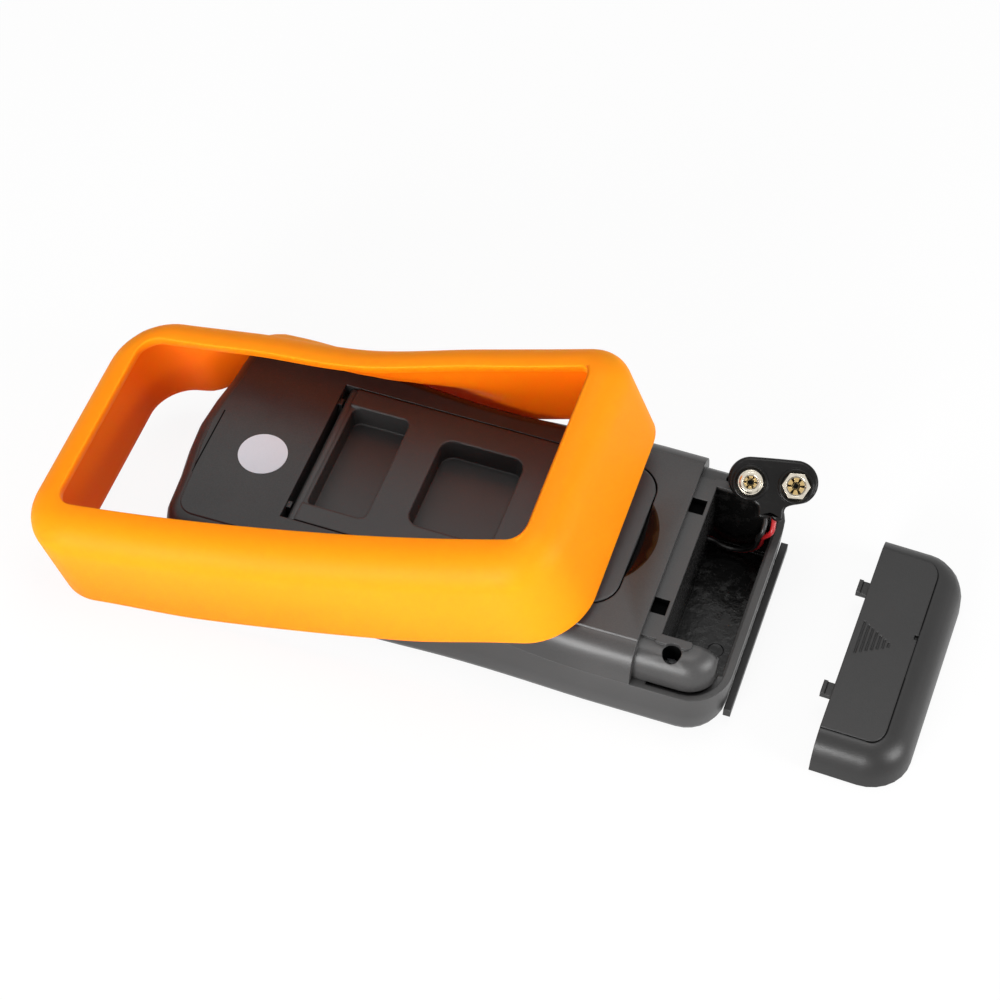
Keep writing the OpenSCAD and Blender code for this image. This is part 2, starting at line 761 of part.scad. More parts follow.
spring_coil_r = 0.55;
spring_turns = 5;
module detent_springs() {
    near_end = disc_r - 8.6;
    far_end = ball_at - ball_r - 0.3;
    steps = 9 * spring_turns;
    color(steel) for (s = [-1, 1]) sweep([for (i = [0 : steps]) let (a = 360 * spring_turns * i / steps)
        [s * (near_end + (far_end - near_end) * i / steps), spring_coil_r * cos(a), disc_z + 1 + spring_coil_r * sin(a)]],
        0.14, 6);
}

// Round cap with a collar behind the face and a plunger that works the switch
module push_button(p) {
    rod(p, button_r, knob_top + 0.2, floor_z + 0.6);
    rod(p, button_r + 1.2, floor_z + run_gap, floor_z + run_gap + 1);
    rod(p, 1.5, floor_z + 1, board_z - 2 - button_travel - 0.3);
}

module power_button() {
    color("#c8402e") push_button([button_x, button_y]);
}

module hold_button() {
    color("#d9d7d2") push_button([button_x, -button_y]);
}

module switch_body(p) {
    translate([p[0] - 3.5, p[1] - 3.5, board_z - 2]) cube([7, 7, 2]);
}

module power_switch() {
    color(black) switch_body([button_x, button_y]);
}

module hold_switch() {
    color(black) switch_body([button_x, -button_y]);
}

module screw(p, head_r, head, r, z_seat, z_tip) {
    difference() {
        union() {
            rod(p, head_r, z_seat, z_seat + head);
            rod(p, r, z_tip, z_seat + cut);
        }
        for (a = [45, 135]) translate([p[0], p[1], z_seat + head]) rotate(a) cube([2 * head_r, 0.6, 1.2], center = true);
    }
}

module case_screws() {
    color(steel) for (s = [-1, 1])
        screw([screw_at[0], s * screw_at[1]], screw_head_r, 1.6, screw_r - 0.3, screw_seat, floor_z + 4);
}

module board_screws() {
    color(steel) for (p = board_screw_at, s = [-1, 1])
        screw([p[0], s * p[1]], 2, 1.2, board_screw_r - 0.25, board_top, floor_z + 2);
}

// Stand plate with two moulded pockets, a hinge barrel and its nubs
module tilt_stand() {
    floor_of = case_thick - pocket_depth;
    color(case_grey) difference() {
        union() {
            translate([0, 0, plate_z]) linear_extrude(stand_thick) {
                rounded(stand_start, stand_end, stand_half, stand_corner_r);
                translate([stand_start, -stand_half]) square([20, 2 * stand_half]);
            }
            for (p = [pocket_1, pocket_2])
                block([p[0] - pocket_wall, -p[2] - pocket_wall, floor_of - pocket_wall],
                    [p[0] + p[1] + pocket_wall, p[2] + pocket_wall, plate_z + 1]);
            block([hinge_x, -stand_half, hinge_z - 0.6 * barrel_r], [stand_start + 2, stand_half, hinge_z + 0.6 * barrel_r]);
            translate([hinge_x, 0, hinge_z]) rotate([90, 0, 0]) {
                cylinder(r = barrel_r, h = 2 * stand_half, center = true);
                cylinder(r = nub_r, h = 2 * (stand_half + nub_reach), center = true);
            }
        }
        translate([0, 0, floor_of]) linear_extrude(big) {
            rounded(pocket_1[0], pocket_1[0] + pocket_1[1], pocket_1[2], 2.4);
            rounded(pocket_2[0], pocket_2[0] + pocket_2[1], pocket_2[2], 4);
        }
        block([hinge_x - big, -pocket_1[2], hinge_z + barrel_r], [pocket_1[0] + pocket_1[1] / 2, pocket_1[2], big]);
    }
}

module inspection_sticker() {
    color("white") rod([-62.7, -6.5], sticker_r, case_thick, case_thick + 0.15);
}

// Loose battery cover, lying on its rim beside the battery end
module battery_cover() {
    color(case_grey) translate([cover_away, cover_aside, -parting_z]) turned(cover_line, cover_yaw) difference() {
        union() {
            difference() {
                intersection() {
                    back_form();
                    block([cover_line + 0.2, -big, 0], [big, big, big]);
                }
                cover_hollow();
            }
            mirrored() cover_hook();
        }
        cover_arrow();
        block([x_end - 9.2, 4.4, case_thick - 1], [x_end - 8.2, 6, big]);
    }
}

// Turn about the upright through a place on the middle line
module turned(x, a) {
    translate([x, 0, 0]) rotate(a) translate([-x, 0, 0]) children();
}

module cover_hollow() {
    rise = case_thick - parting_z;
    prism(cover_wall, parting_z - 1, parting_z + 0.44 * rise);
    prism(cover_wall + 1.8, parting_z, parting_z + 0.66 * rise);
    prism(cover_wall + 4, parting_z, case_thick - cover_skin);
}

// Hook with a turned-up nose that slips under the back's edge
module cover_hook() {
    block([cover_line - hook_reach, hook_y - hook_width / 2, hook_z - hook_thick],
        [cover_line + 3, hook_y + hook_width / 2, hook_z]);
    block([cover_line - hook_reach, hook_y - hook_width / 2, hook_z - hook_thick],
        [cover_line - hook_reach + 1.2, hook_y + hook_width / 2, hook_z + hook_nose]);
    block([cover_line + 1, hook_y - hook_width / 2, hook_z - hook_thick],
        [cover_line + 3, hook_y + hook_width / 2, case_thick - cover_skin / 2]);
}

// Row of grooves that narrow to an arrow
module cover_arrow() {
    ribs = 7;
    for (i = [0 : ribs - 1])
        translate([cover_line + 2.4 + 1.35 * i, 0, case_thick]) cube([0.6, 1.6 * (ribs - i), 0.7], center = true);
}

module snap_pose() {
    translate(snap_at) rotate([0, 0, snap_turn]) rotate([snap_lean, 0, 0]) children();
}

// Vinyl body with round ends and a neck for the leads
module snap_body() {
    color(black) snap_pose() difference() {
        union() {
            translate([0, 0, -snap_thick]) linear_extrude(snap_thick) {
                square([stud_pitch, 2 * snap_half], center = true);
                for (s = [-1, 1]) translate([s * stud_pitch / 2, 0]) circle(snap_half);
            }
            translate([0, 0, -snap_thick + 0.4]) linear_extrude(snap_thick - 0.8)
                polygon([[-5.5, -snap_half + 0.6], [-2.8, -neck_end], [2.8, -neck_end], [5.5, -snap_half + 0.6]]);
        }
        for (s = [-1, 1]) translate([s * stud_pitch / 2, -stud_drop, -flange_seat])
            cylinder(r = flange_r + 0.1, h = 2);
    }
}

// Pit with a pin hole and six slits between its sprung petals
module petal_pit(r, floor_z, hole_r) {
    translate([0, 0, floor_z]) cylinder(r = r, h = big);
    translate([0, 0, floor_z - 0.7]) cylinder(r = hole_r, h = big);
    for (a = [0, 60, 120]) rotate(a) translate([0, 0, floor_z]) cube([2 * r - 0.2, 0.7, 0.9], center = true);
}

// Smaller terminal, a round stud
module snap_stud() {
    color(steel) snap_pose() translate([-stud_pitch / 2, -stud_drop, -flange_seat]) difference() {
        union() {
            cylinder(r = flange_r, h = flange_seat + 0.1);
            cylinder(r = flange_r - 0.3, h = 2.6);
            translate([0, 0, 2.6 - cut]) cylinder(r1 = flange_r - 0.3, r2 = flange_r - 0.7, h = 0.4);
        }
        petal_pit(2.2, 1.5, 1.1);
    }
}

// Larger terminal, a six-sided socket
module snap_socket() {
    color(steel) snap_pose() translate([stud_pitch / 2, -stud_drop, -flange_seat]) difference() {
        union() {
            cylinder(r = flange_r, h = flange_seat + 0.2);
            translate([0, 0, flange_seat + 0.1]) cylinder(r = flange_r + 0.5, h = 2, $fn = 6);
        }
        petal_pit(2.8, 1.5, 1.2);
    }
}

function unit(v) = v / norm(v);
function spline(p, i, t) =
    let (n = len(p) - 1, a = p[max(0, i - 1)], b = p[i], c = p[min(n, i + 1)], d = p[min(n, i + 2)])
    b + 0.5 * t * ((c - a) + t * ((2 * a - 5 * b + 4 * c - d) + t * (3 * b - a - 3 * c + d)));
function smoothed(p, k) = concat(
    [for (i = [0 : len(p) - 2]) for (j = [0 : k - 1]) spline(p, i, j / k)], [p[len(p) - 1]]);

// Tube along a path, with its rings square to it
module sweep(path, r, sides) {
    n = len(path);
    dirs = [for (i = [0 : n - 1]) unit(path[min(n - 1, i + 1)] - path[max(0, i - 1)])];
    points = [for (i = [0 : n - 1])
        let (d = dirs[i], s = unit(cross(d, abs(d[1]) < 0.9 ? [0, 1, 0] : [1, 0, 0])), t = cross(d, s))
        for (k = [0 : sides - 1]) path[i] + r * (cos(360 * k / sides) * s + sin(360 * k / sides) * t)];
    polyhedron(points = points, faces = concat(
        [[for (k = [0 : sides - 1]) k]],
        [[for (k = [sides - 1 : -1 : 0]) (n - 1) * sides + k]],
        [for (i = [0 : n - 2]) for (k = [0 : sides - 1]) let (j = (k + 1) % sides)
            each [[i * sides + k, (i + 1) * sides + k, (i + 1) * sides + j],
                [i * sides + k, (i + 1) * sides + j, i * sides + j]]]));
}

module lead_red() {
    color("#c22a22") sweep(smoothed(lead_red_path, 2), lead_r, 8);
}

module lead_black() {
    color(black) sweep(smoothed(lead_black_path, 2), lead_r, 8);
}

// Outline of the relaxed holster, drawn in by a side, a top and an end distance
function sleeve_side(x, s) =
    let (base = sleeve_half_top + (sleeve_half_end - sleeve_half_top) * (x / sleeve_half_length + 1) / 2)
    let (dip = s > 0 ? sleeve_waist : -sleeve_bulge)
    base - dip * (1 - smooth(abs(x - waist_at) / waist_span));
function sleeve_outline(side, top, end, r) =
    let (xa = top - sleeve_half_length + r)
    let (xb = sleeve_half_length - end - r)
    let (m = corner_steps, n = 2 * side_steps)
    concat(
        [for (i = [0 : n]) let (x = xa + (xb - xa) * i / n) [x, side - sleeve_side(x, -1)]],
        [for (k = [1 : m]) let (a = 90 * k / m - 90) [xb + r * cos(a), side + r - sleeve_side(xb, -1) + r * sin(a)]],
        [[xb + r, 0]],
        [for (k = [0 : m - 1]) let (a = 90 * k / m) [xb + r * cos(a), sleeve_side(xb, 1) - side - r + r * sin(a)]],
        [for (i = [n : -1 : 0]) let (x = xa + (xb - xa) * i / n) [x, sleeve_side(x, 1) - side]],
        [for (k = [1 : m]) let (a = 90 + 90 * k / m) [xa + r * cos(a), sleeve_side(xa, 1) - side - r + r * sin(a)]],
        [[xa - r, 0]],
        [for (k = [0 : m - 1]) let (a = 180 + 90 * k / m) [xa + r * cos(a), side + r - sleeve_side(xa, -1) + r * sin(a)]]);

// Place of a point of the relaxed holster after it is racked, rolled, bent, pulled up and, on its far side,
// pushed out by the case, which stretches the wall thinner there
function flexed(p, thin) =
    let (k = sleeve_bend / 80 * PI / 180)
    let (slope = sleeve_pitch + sleeve_bend / 80 * p[0])
    let (push = (sleeve_push - thin) * smooth((p[0] - push_from) / push_rise) * smooth((push_to - p[0]) / push_fade))
    let (low = smooth((push_top - push_fall * p[0] - p[2]) / push_blend) * smooth((p[1] + 10) / 40))
    let (y0 = p[1] + push * low + tan(sleeve_rack) * p[0])
    let (y = y0 * cos(sleeve_roll) - p[2] * sin(sleeve_roll))
    let (z = y0 * sin(sleeve_roll) + p[2] * cos(sleeve_roll))
    let (along = (sin(slope) - sin(sleeve_pitch)) / k - sin(slope) * z)
    let (up = (cos(sleeve_pitch) - cos(slope)) / k + cos(slope) * z)
    sleeve_at + [cos(sleeve_yaw) * along - sin(sleeve_yaw) * y, sin(sleeve_yaw) * along + cos(sleeve_yaw) * y, up];

// Rubber ring: a wall with a rounded edge and a lip, carried round its outline
module holster() {
    r = sleeve_corner_r;
    inner_r = r - sleeve_wall - inner_tight;
    h = sleeve_height;
    edge = [for (a = [0, 30, 60, 90]) [sleeve_round * (1 - cos(a)), h - sleeve_round * (1 - sin(a))]];
    rings = concat(
        [for (u = [0, 0.12, 0.24, 0.36, 0.48, 0.6, 0.7, 0.82]) sleeve_loop(0, 0, 0, r, u * (h - sleeve_round))],
        [for (e = edge) sleeve_loop(e[0], e[0], e[0], r - corner_draw * e[0], e[1])],
        [sleeve_loop(lip_side - lip_edge, lip_top - lip_edge, lip_end - lip_edge, window_corner_r + lip_edge, h)],
        [sleeve_loop(lip_side, lip_top, lip_end, window_corner_r, h - lip_edge)],
        [sleeve_loop(lip_side, lip_top, lip_end, window_corner_r, h - lip_thick)],
        [for (u = [1, 0.8, 0.68, 0.58, 0.49, 0.4, 0.3, 0.2, 0.1, 0]) sleeve_loop(sleeve_wall, sleeve_wall, sleeve_wall, inner_r, u * (h - lip_thick))]);
    n = len(rings[0]);
    m = len(rings);
    color(orange) polyhedron(
        points = [for (ring = rings) each ring],
        faces = [for (q = [0 : m - 1]) for (i = [0 : n - 1]) let (j = (i + 1) % n, s = (q + 1) % m)
            each [[q * n + i, s * n + i, s * n + j], [q * n + i, s * n + j, q * n + j]]]);
}

function sleeve_loop(side, top, end, r, z) =
    [for (p = sleeve_outline(side, top, end, r)) flexed([p[0], p[1], z], side < sleeve_wall ? push_thin : 0)];

front_case();
back_case();
end_rib();
face_plate();
window_lens();
display_glass();
display_frame();
display_strips();
main_board();
measuring_chip();
trim_pots();
fuses();
fuse_clips();
current_shunt();
buzzer();
jack_block();
jack_sleeves();
selector_knob();
wiper_disc();
wiper_contacts();
detent_ring();
detent_balls();
detent_springs();
power_button();
hold_button();
power_switch();
hold_switch();
case_screws();
board_screws();
tilt_stand();
inspection_sticker();
battery_cover();
snap_body();
snap_stud();
snap_socket();
lead_red();
lead_black();
holster();
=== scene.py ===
"""Looks for a hand-held digital multimeter that lies face down with its rubber holster half pulled off."""

import math

import bpy
import numpy as np
from bpy.props import FloatProperty, FloatVectorProperty, IntProperty, PointerProperty
from bpy.types import Operator, Panel, PropertyGroup
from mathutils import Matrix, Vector


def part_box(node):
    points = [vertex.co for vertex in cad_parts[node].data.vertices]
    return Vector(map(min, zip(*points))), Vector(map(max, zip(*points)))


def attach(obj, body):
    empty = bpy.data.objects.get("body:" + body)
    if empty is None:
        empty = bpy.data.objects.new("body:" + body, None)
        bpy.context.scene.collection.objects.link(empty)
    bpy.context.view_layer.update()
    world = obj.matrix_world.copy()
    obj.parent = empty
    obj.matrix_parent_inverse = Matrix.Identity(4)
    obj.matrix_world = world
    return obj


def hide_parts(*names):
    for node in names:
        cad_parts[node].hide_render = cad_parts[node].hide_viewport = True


bl_info = {
    "name": "Multimeter Looks",
    "version": (1, 0, 0),
    "blender": (4, 5, 0),
    "location": "View3D > Sidebar > Multimeter",
    "description": "Dresses a packed multimeter with rubber, moulded plastic, metal and leads",
    "category": "Object",
}

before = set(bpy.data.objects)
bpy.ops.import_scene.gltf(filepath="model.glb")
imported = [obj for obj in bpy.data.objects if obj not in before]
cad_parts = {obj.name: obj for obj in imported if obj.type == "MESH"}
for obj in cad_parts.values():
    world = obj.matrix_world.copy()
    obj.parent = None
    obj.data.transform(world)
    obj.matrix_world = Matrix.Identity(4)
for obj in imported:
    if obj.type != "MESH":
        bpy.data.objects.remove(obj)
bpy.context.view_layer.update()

MM = 0.001

# Centre lines of the two battery leads in millimetres, from the board to the neck of the snap
LEAD_RED = [
    (56.2, 24, 9.9), (56.3, 24, 8.6), (57.2, 24.2, 7.2), (59.2, 24.5, 6.2), (61.2, 24.7, 5.6),
    (63, 24.8, 4.8), (65.5, 25, 3.2), (69, 25, 2.6), (73, 25, 4), (76, 24.8, 7), (77.2, 24, 11),
    (77.6, 22.6, 15), (78.5, 20.4, 19), (80.2, 19.6, 22.6),
]
LEAD_BLACK = [
    (56.2, 21.8, 9.9), (56.3, 21.8, 8.6), (57.2, 22, 7.4), (59.2, 22.5, 7), (61.2, 23.2, 7),
    (63.1, 23.6, 6.4), (65.6, 23.9, 4.8), (69.1, 24, 4.1), (73, 24, 5.6), (75.2, 23.4, 8.6),
    (76.2, 22.4, 12.3), (76.5, 20.8, 16), (76.8, 18.9, 19.4), (77.8, 18.8, 22.6),
]

# Half of the distance between the snap's terminals, and the way across to their middles, in millimetres
TERMINAL, TERMINAL_V = 6.35, -1

# Boxes on the case that differ in finish and in painted light and shade, by their low and high corners in
# metres
# The bay is painted near black, as painted shade.
BAY = ((0.0622, -0.0268, 0.0005), (0.0796, 0.0268, 0.0262))
# Painted light: the end of the case beyond the holster is painted lighter.
LIT_END = ((0.045, -0.06, 0.019), (0.1, 0.06, 0.04))
# The top slit and the hook slots are painted black, as painted shade.
TOP_SLIT = ((-0.0794, -0.0184, 0.0285), (-0.0791, 0.0048, 0.0305))
HOOK_SLOTS = [((0.0532, y - 0.0026, 0.0249), (0.0609, y + 0.0026, 0.0275)) for y in (-0.018, 0.018)]

# Round hollows of the case: a point on the axis, the radius, and the box that holds the hollow's walls
# The scoop is painted dark like the bay, as painted shade.
SCOOP = ((0.032, 0, 0), 0.0203, (0.0447, -0.021, 0.0245), (0.0565, 0.021, 0.02942))
# The screw holes are painted black, as painted shade.
SCREW_HOLES = [
    ((0.0662, y, 0), 0.00285, (0.0632, y - 0.003, 0.0185), (0.0692, y + 0.003, 0.0264))
    for y in (-0.031, 0.031)
]

# Middles of the jacks along and across the face plate, in metres
JACK_X, JACK_Y = 0.05, (-0.027, -0.0095, 0.0095, 0.027)

# Colours of plastic in linear light: painted shade in corners, black painted shade in gaps, painted shade
# in the bay and the scuffs on it, rubbed black
CREASE_SHADE = (0.0012, 0.0011, 0.001)
GAP_SHADE = (0.001, 0.001, 0.001)
BAY_SHADE = (0.0025, 0.0024, 0.0023)
SCUFFED = (0.014, 0.0135, 0.013)
BLACK_WORN = (0.03, 0.03, 0.03)

# Length of holster over which its bend is given, in metres
BEND_LENGTH = 0.08

# Angle in degrees past which two faces of a CAD node meet at a sharp edge
SHARP_ANGLE = 34


def size(name, text, default):
    """A length of the object, in metres."""
    return FloatProperty(name=name, description=text, default=default, unit="LENGTH", precision=5)


def spot(name, text, default):
    """A place in the row frame, in metres."""
    return FloatVectorProperty(name=name, description=text, default=default, unit="LENGTH", precision=5)


def turn(name, text, degrees):
    """An angle of the object, given in degrees."""
    return FloatProperty(
        name=name, description=text, default=math.radians(degrees), subtype="ANGLE", precision=4
    )


def power(name, text, default):
    """Power of a lamp, in watts."""
    return FloatProperty(name=name, description=text, default=default, unit="POWER", min=0)


def tint(name, text, default):
    """A colour that a user would change, in linear light."""
    return FloatVectorProperty(
        name=name, description=text, default=default, size=3, min=0, max=1, subtype="COLOR"
    )


class HolsterShape(PropertyGroup):
    """Form of the flexed rubber holster."""

    half_length: size("Half length", "Half of the holster's outer length", 0.0812)
    half_top: size("Half width, free end", "Half of the outer width at the free end", 0.0412)
    half_end: size("Half width, case end", "Half of the outer width at the end on the case", 0.0402)
    waist: size("Waist", "Depth of the waist on the far side", 0.0022)
    bulge: size("Bulge", "Outward bow of the near side", -0.0001)
    height: size("Height", "Height of the walls", 0.0336)
    wall: size("Wall", "Thickness of the walls", 0.0032)
    lip_thick: size("Lip thickness", "Thickness of the lip", 0.003)
    lip_side: size("Lip, sides", "Width of the lip along the sides, with the wall", 0.0118)
    lip_top: size("Lip, free end", "Width of the lip at the free end, with the wall", 0.0103)
    lip_end: size("Lip, case end", "Width of the lip at the end on the case, with the wall", 0.0094)
    edge_round: size("Edge rounding", "Rounding of the outer edge", 0.0094)
    lip_round: size("Lip rounding", "Rounding of the lip's upper edge round the window", 0.00045)
    nick: size("Small rounding", "Rounding of the rim and of the lip's lower edge", 0.0004)
    corner: size("Corner", "Plan radius of the corners", 0.01545)
    corners: FloatVectorProperty(
        name="Corner shares",
        description="Share of the corner radius at the near free, near case, far case and far free corners",
        default=(1.03, 1, 0.8, 1.16), size=4,
    )
    window: size("Window corner", "Plan radius of the window's corners", 0.005)
    pitch: turn("Pitch", "Slope along the holster at its middle", 10.3)
    bend: turn("Bend", "Bend along 80 mm of the holster", 8.2)
    roll: turn("Roll", "Slope across the holster", 7.2)
    rack: turn("Rack", "Lean of the ends against the sides", 7.075)
    yaw: turn("Yaw", "Turn on the table", -2.6)
    place: spot("Place", "Middle of the holster's rim", (-0.0354, -0.0061, 0.01455))
    slim: size("Slimming", "Draw-in of the far side's outer edge", 0.0015)
    thin: size("Thinning", "Loss of wall where the case pushes the far side out", 0.0016)
    push: size("Push", "Distance that the case pushes the far side out", 0.0131)
    draft_top: size("Draft, free end", "Draw-in of the free end's rim", 0.00425)
    draft_end: size("Draft, case end", "Draw-in of the rim at the end on the case", 0.0005)
    draft_far: size("Draft, far corner", "Draw-in of the far rim near the free end", 0.0025)
    skirt: size("Skirt", "Extra depth of the far wall beside the case", 0.0051)
    flare: size("Flare", "Outward lean of the skirt towards the case end", 0.0025)
    sag: size("Sag", "Extra depth of the near wall in its middle", 0.00175)
    along: IntProperty(name="Steps along", description="Steps along each long side", default=64, min=8)
    across: IntProperty(name="Steps across", description="Steps across each end", default=8, min=2)


class MeterLooks(PropertyGroup):
    """Colours and small sizes of the finishes."""

    rubber: tint("Rubber", "Orange of the holster", (0.97, 0.262, 0.002))
    # Painted shade: this redder orange is painted where the holster's hollows shut out light; the pores and
    # mottle take a little of it.
    rubber_shade_and_pores: tint("Rubber shade", "Redder orange in the holster's hollows and pores", (1.0, 0.145, 0.0))
    case: tint("Case", "Dark grey of the case", (0.0172, 0.0168, 0.0168))
    # The end beyond the holster is also painted towards this grey, as painted light.
    case_worn: tint("Case, rubbed", "Lighter grey in the moulded texture", (0.042, 0.041, 0.0407))
    stand: tint("Stand", "Grey of the tilt stand", (0.029, 0.0285, 0.0285))
    cover: tint("Cover", "Darker grey of the battery cover", (0.0065, 0.0062, 0.0061))
    cover_worn: tint("Cover, rubbed", "Lighter grey in the cover's texture", (0.0125, 0.012, 0.0118))
    black: tint("Black", "Black of small mouldings", (0.012, 0.0115, 0.0115))
    vinyl: tint("Vinyl", "Black of the snap", (0.0045, 0.0043, 0.0042))
    nickel: tint("Nickel", "Plating of the terminals", (0.72, 0.66, 0.55))
    brass: tint("Brass", "Contacts and jack sleeves", (0.58, 0.38, 0.11))
    steel: tint("Steel", "Screws, balls and springs", (0.5, 0.51, 0.53))
    paper: tint("Paper", "Blank inspection label", (0.61, 0.625, 0.68))
    # Its own red, made a little darker as painted shade for the lead's run in the dark bay.
    lead_red: tint("Red lead", "Insulation of the positive lead", (0.34, 0.01, 0.013))
    grain: size("Grain", "Size of the moulded texture's grains", 0.00035)
    lead: size("Lead", "Diameter of the battery leads", 0.0014)


class MeterView(PropertyGroup):
    """Camera and light."""

    place: spot("Camera", "Place of the camera", (0.1408, -0.3826, 0.5663))
    target: spot("Target", "Point that the camera looks at", (-0.0011, 0.0214, 0.0))
    lens: FloatProperty(
        name="Lens", description="Focal length in millimetres", default=86.54, min=10, unit="CAMERA"
    )
    sky: FloatProperty(name="Sky", description="Strength of the even light", default=0.4, min=0)
    key: power("Key", "Power of the lamp overhead", 2.5)
    fill: power("Fill", "Power of the lamp on the near side", 11.8)
    side: power("Side", "Power of the lamp on the right", 6.5)


class Term:
    """A node's socket that adds Math nodes when it is used in an expression."""

    def __init__(self, paint, socket):
        self.paint = paint
        self.socket = socket

    def _math(self, operation, first, second=0.0):
        return self.paint.node("ShaderNodeMath", {"operation": operation}, {0: first, 1: second})

    def __add__(self, other):
        return self._math("ADD", self, other)

    def __radd__(self, other):
        return self._math("ADD", other, self)

    def __sub__(self, other):
        return self._math("SUBTRACT", self, other)

    def __rsub__(self, other):
        return self._math("SUBTRACT", other, self)

    def __mul__(self, other):
        return self._math("MULTIPLY", self, other)

    def __rmul__(self, other):
        return self._math("MULTIPLY", other, self)

    def __pow__(self, other):
        return self._math("POWER", self, other)


class Paint:
    """A material under construction."""

    def __init__(self, name, kind=bpy.types.Material):
        holder = bpy.data.worlds if kind is bpy.types.World else bpy.data.materials
        self.made = holder.new(name)
        self.made.use_nodes = True
        self.tree = self.made.node_tree
        self.tree.nodes.clear()

    def node(self, kind, settings=None, sockets=None, out=0):
        """Adds a node: its settings first, then the values or links of its sockets."""
        made = self.tree.nodes.new(kind)
        for key, value in (settings or {}).items():
            setattr(made, key, value)
        for key, value in (sockets or {}).items():
            if isinstance(value, Term):
                self.tree.links.new(value.socket, made.inputs[key])
            elif hasattr(value, "__len__") and made.inputs[key].type == "RGBA":
                made.inputs[key].default_value = (*value, 1)
            else:
                made.inputs[key].default_value = value
        return Term(self, made.outputs[out]) if made.outputs else None

    def place(self):
        """Place on the piece, in metres."""
        return self.node("ShaderNodeTexCoord", out="Object")

    def noise(self, step, detail=2.0, rough=0.5):
        """Even noise whose features are about step metres apart."""
        return self.node(
            "ShaderNodeTexNoise", {},
            {"Vector": self.place(), "Scale": 1 / step, "Detail": detail, "Roughness": rough},
        )

    def ramp(self, value, low, high):
        """Value spread so that low gives 0 and high gives 1, cut off outside."""
        return self.node(
            "ShaderNodeMapRange", {"clamp": True}, {"Value": value, "From Min": low, "From Max": high}
        )

    def mix(self, share, first, second):
        """Colour between two colours."""
        return self.node(
            "ShaderNodeMix", {"data_type": "RGBA", "clamp_factor": True}, {0: share, 6: first, 7: second}, 2
        )

    def band(self, value, low, high, blend):
        """1 from low to high, falling to 0 over blend on either side."""
        return self.ramp(value, low - blend, low) * self.ramp(value, high + blend, high)

    def inside(self, low, high, blend=0.0008):
        """1 inside a box, falling to 0 over blend metres round it."""
        share = 1.0
        for axis, a, b in zip("XYZ", low, high):
            along = self.node("ShaderNodeSeparateXYZ", {}, {0: self.place()}, axis)
            share = self.band(along, a, b, blend) * share
        return share

    def hole(self, centre, radius, low, high):
        """1 inside an upright round hole, in the part of it that lies in a box, 0 outside it."""
        r, _ = self.around(centre, (1, 0, 0), (0, 1, 0))
        return self.ramp(r, radius, radius - 0.0002) * self.inside(low, high, 0.0001)

    def bump(self, height, depth, normal=None):
        """Normal of a surface raised by height, which runs from 0 to 1, over depth metres."""
        sockets = {"Height": height, "Distance": depth, "Strength": 1.0}
        if normal:
            sockets["Normal"] = normal
        return self.node("ShaderNodeBump", {}, sockets)

    def soft_edge(self, radius):
        """Normal with the edges eased over radius metres."""
        return self.node("ShaderNodeBevel", {"samples": 6}, {"Radius": radius})

    def around(self, centre, across, up):
        """Distance from an axis through centre and angle about it, from two directions square to it."""
        away = self.node("ShaderNodeVectorMath", {"operation": "SUBTRACT"}, {0: self.place(), 1: centre})
        x, y = (
            self.node("ShaderNodeVectorMath", {"operation": "DOT_PRODUCT"}, {0: away, 1: d}, "Value")
            for d in (across, up)
        )
        return (x * x + y * y) ** 0.5, self.node("ShaderNodeMath", {"operation": "ARCTAN2"}, {0: y, 1: x})

    def spokes(self, angle, count):
        """0 on each of count even spokes, rising to 0.5 between them."""
        turns = angle * (count / (2 * math.pi))
        return self.node("ShaderNodeMath", {"operation": "PINGPONG"}, {0: turns, 1: 0.5})

    def crease(self, reach, low, high):
        """1 in the corners and grooves that are about reach metres wide, 0 in the open, from ambient
        occlusion; it masks painted shade.
        """
        open_share = self.node("ShaderNodeAmbientOcclusion", {"samples": 6}, {"Distance": reach}, "AO")
        return self.ramp(open_share, high, low)

    def surroundings(self):
        """1 for a ray that shows the surroundings: from the camera, off a mirror or through glass."""
        seen, shine, through = (
            self.node("ShaderNodeLightPath", out=ray)
            for ray in ("Is Camera Ray", "Is Glossy Ray", "Is Transmission Ray")
        )
        return self.node("ShaderNodeClamp", {}, {"Value": seen + shine + through})

    def surface(self, **sockets):
        """A principled surface."""
        named = {
            key.replace("_", " ").title().replace("Ior", "IOR"): value for key, value in sockets.items()
        }
        return self.node("ShaderNodeBsdfPrincipled", {}, named)

    def close(self, surface):
        """Ends the material with a surface."""
        self.node("ShaderNodeOutputMaterial", {}, {"Surface": surface})
        return self.made

    def finish(self, **sockets):
        """Ends the material with one principled surface."""
        return self.close(self.surface(**sockets))


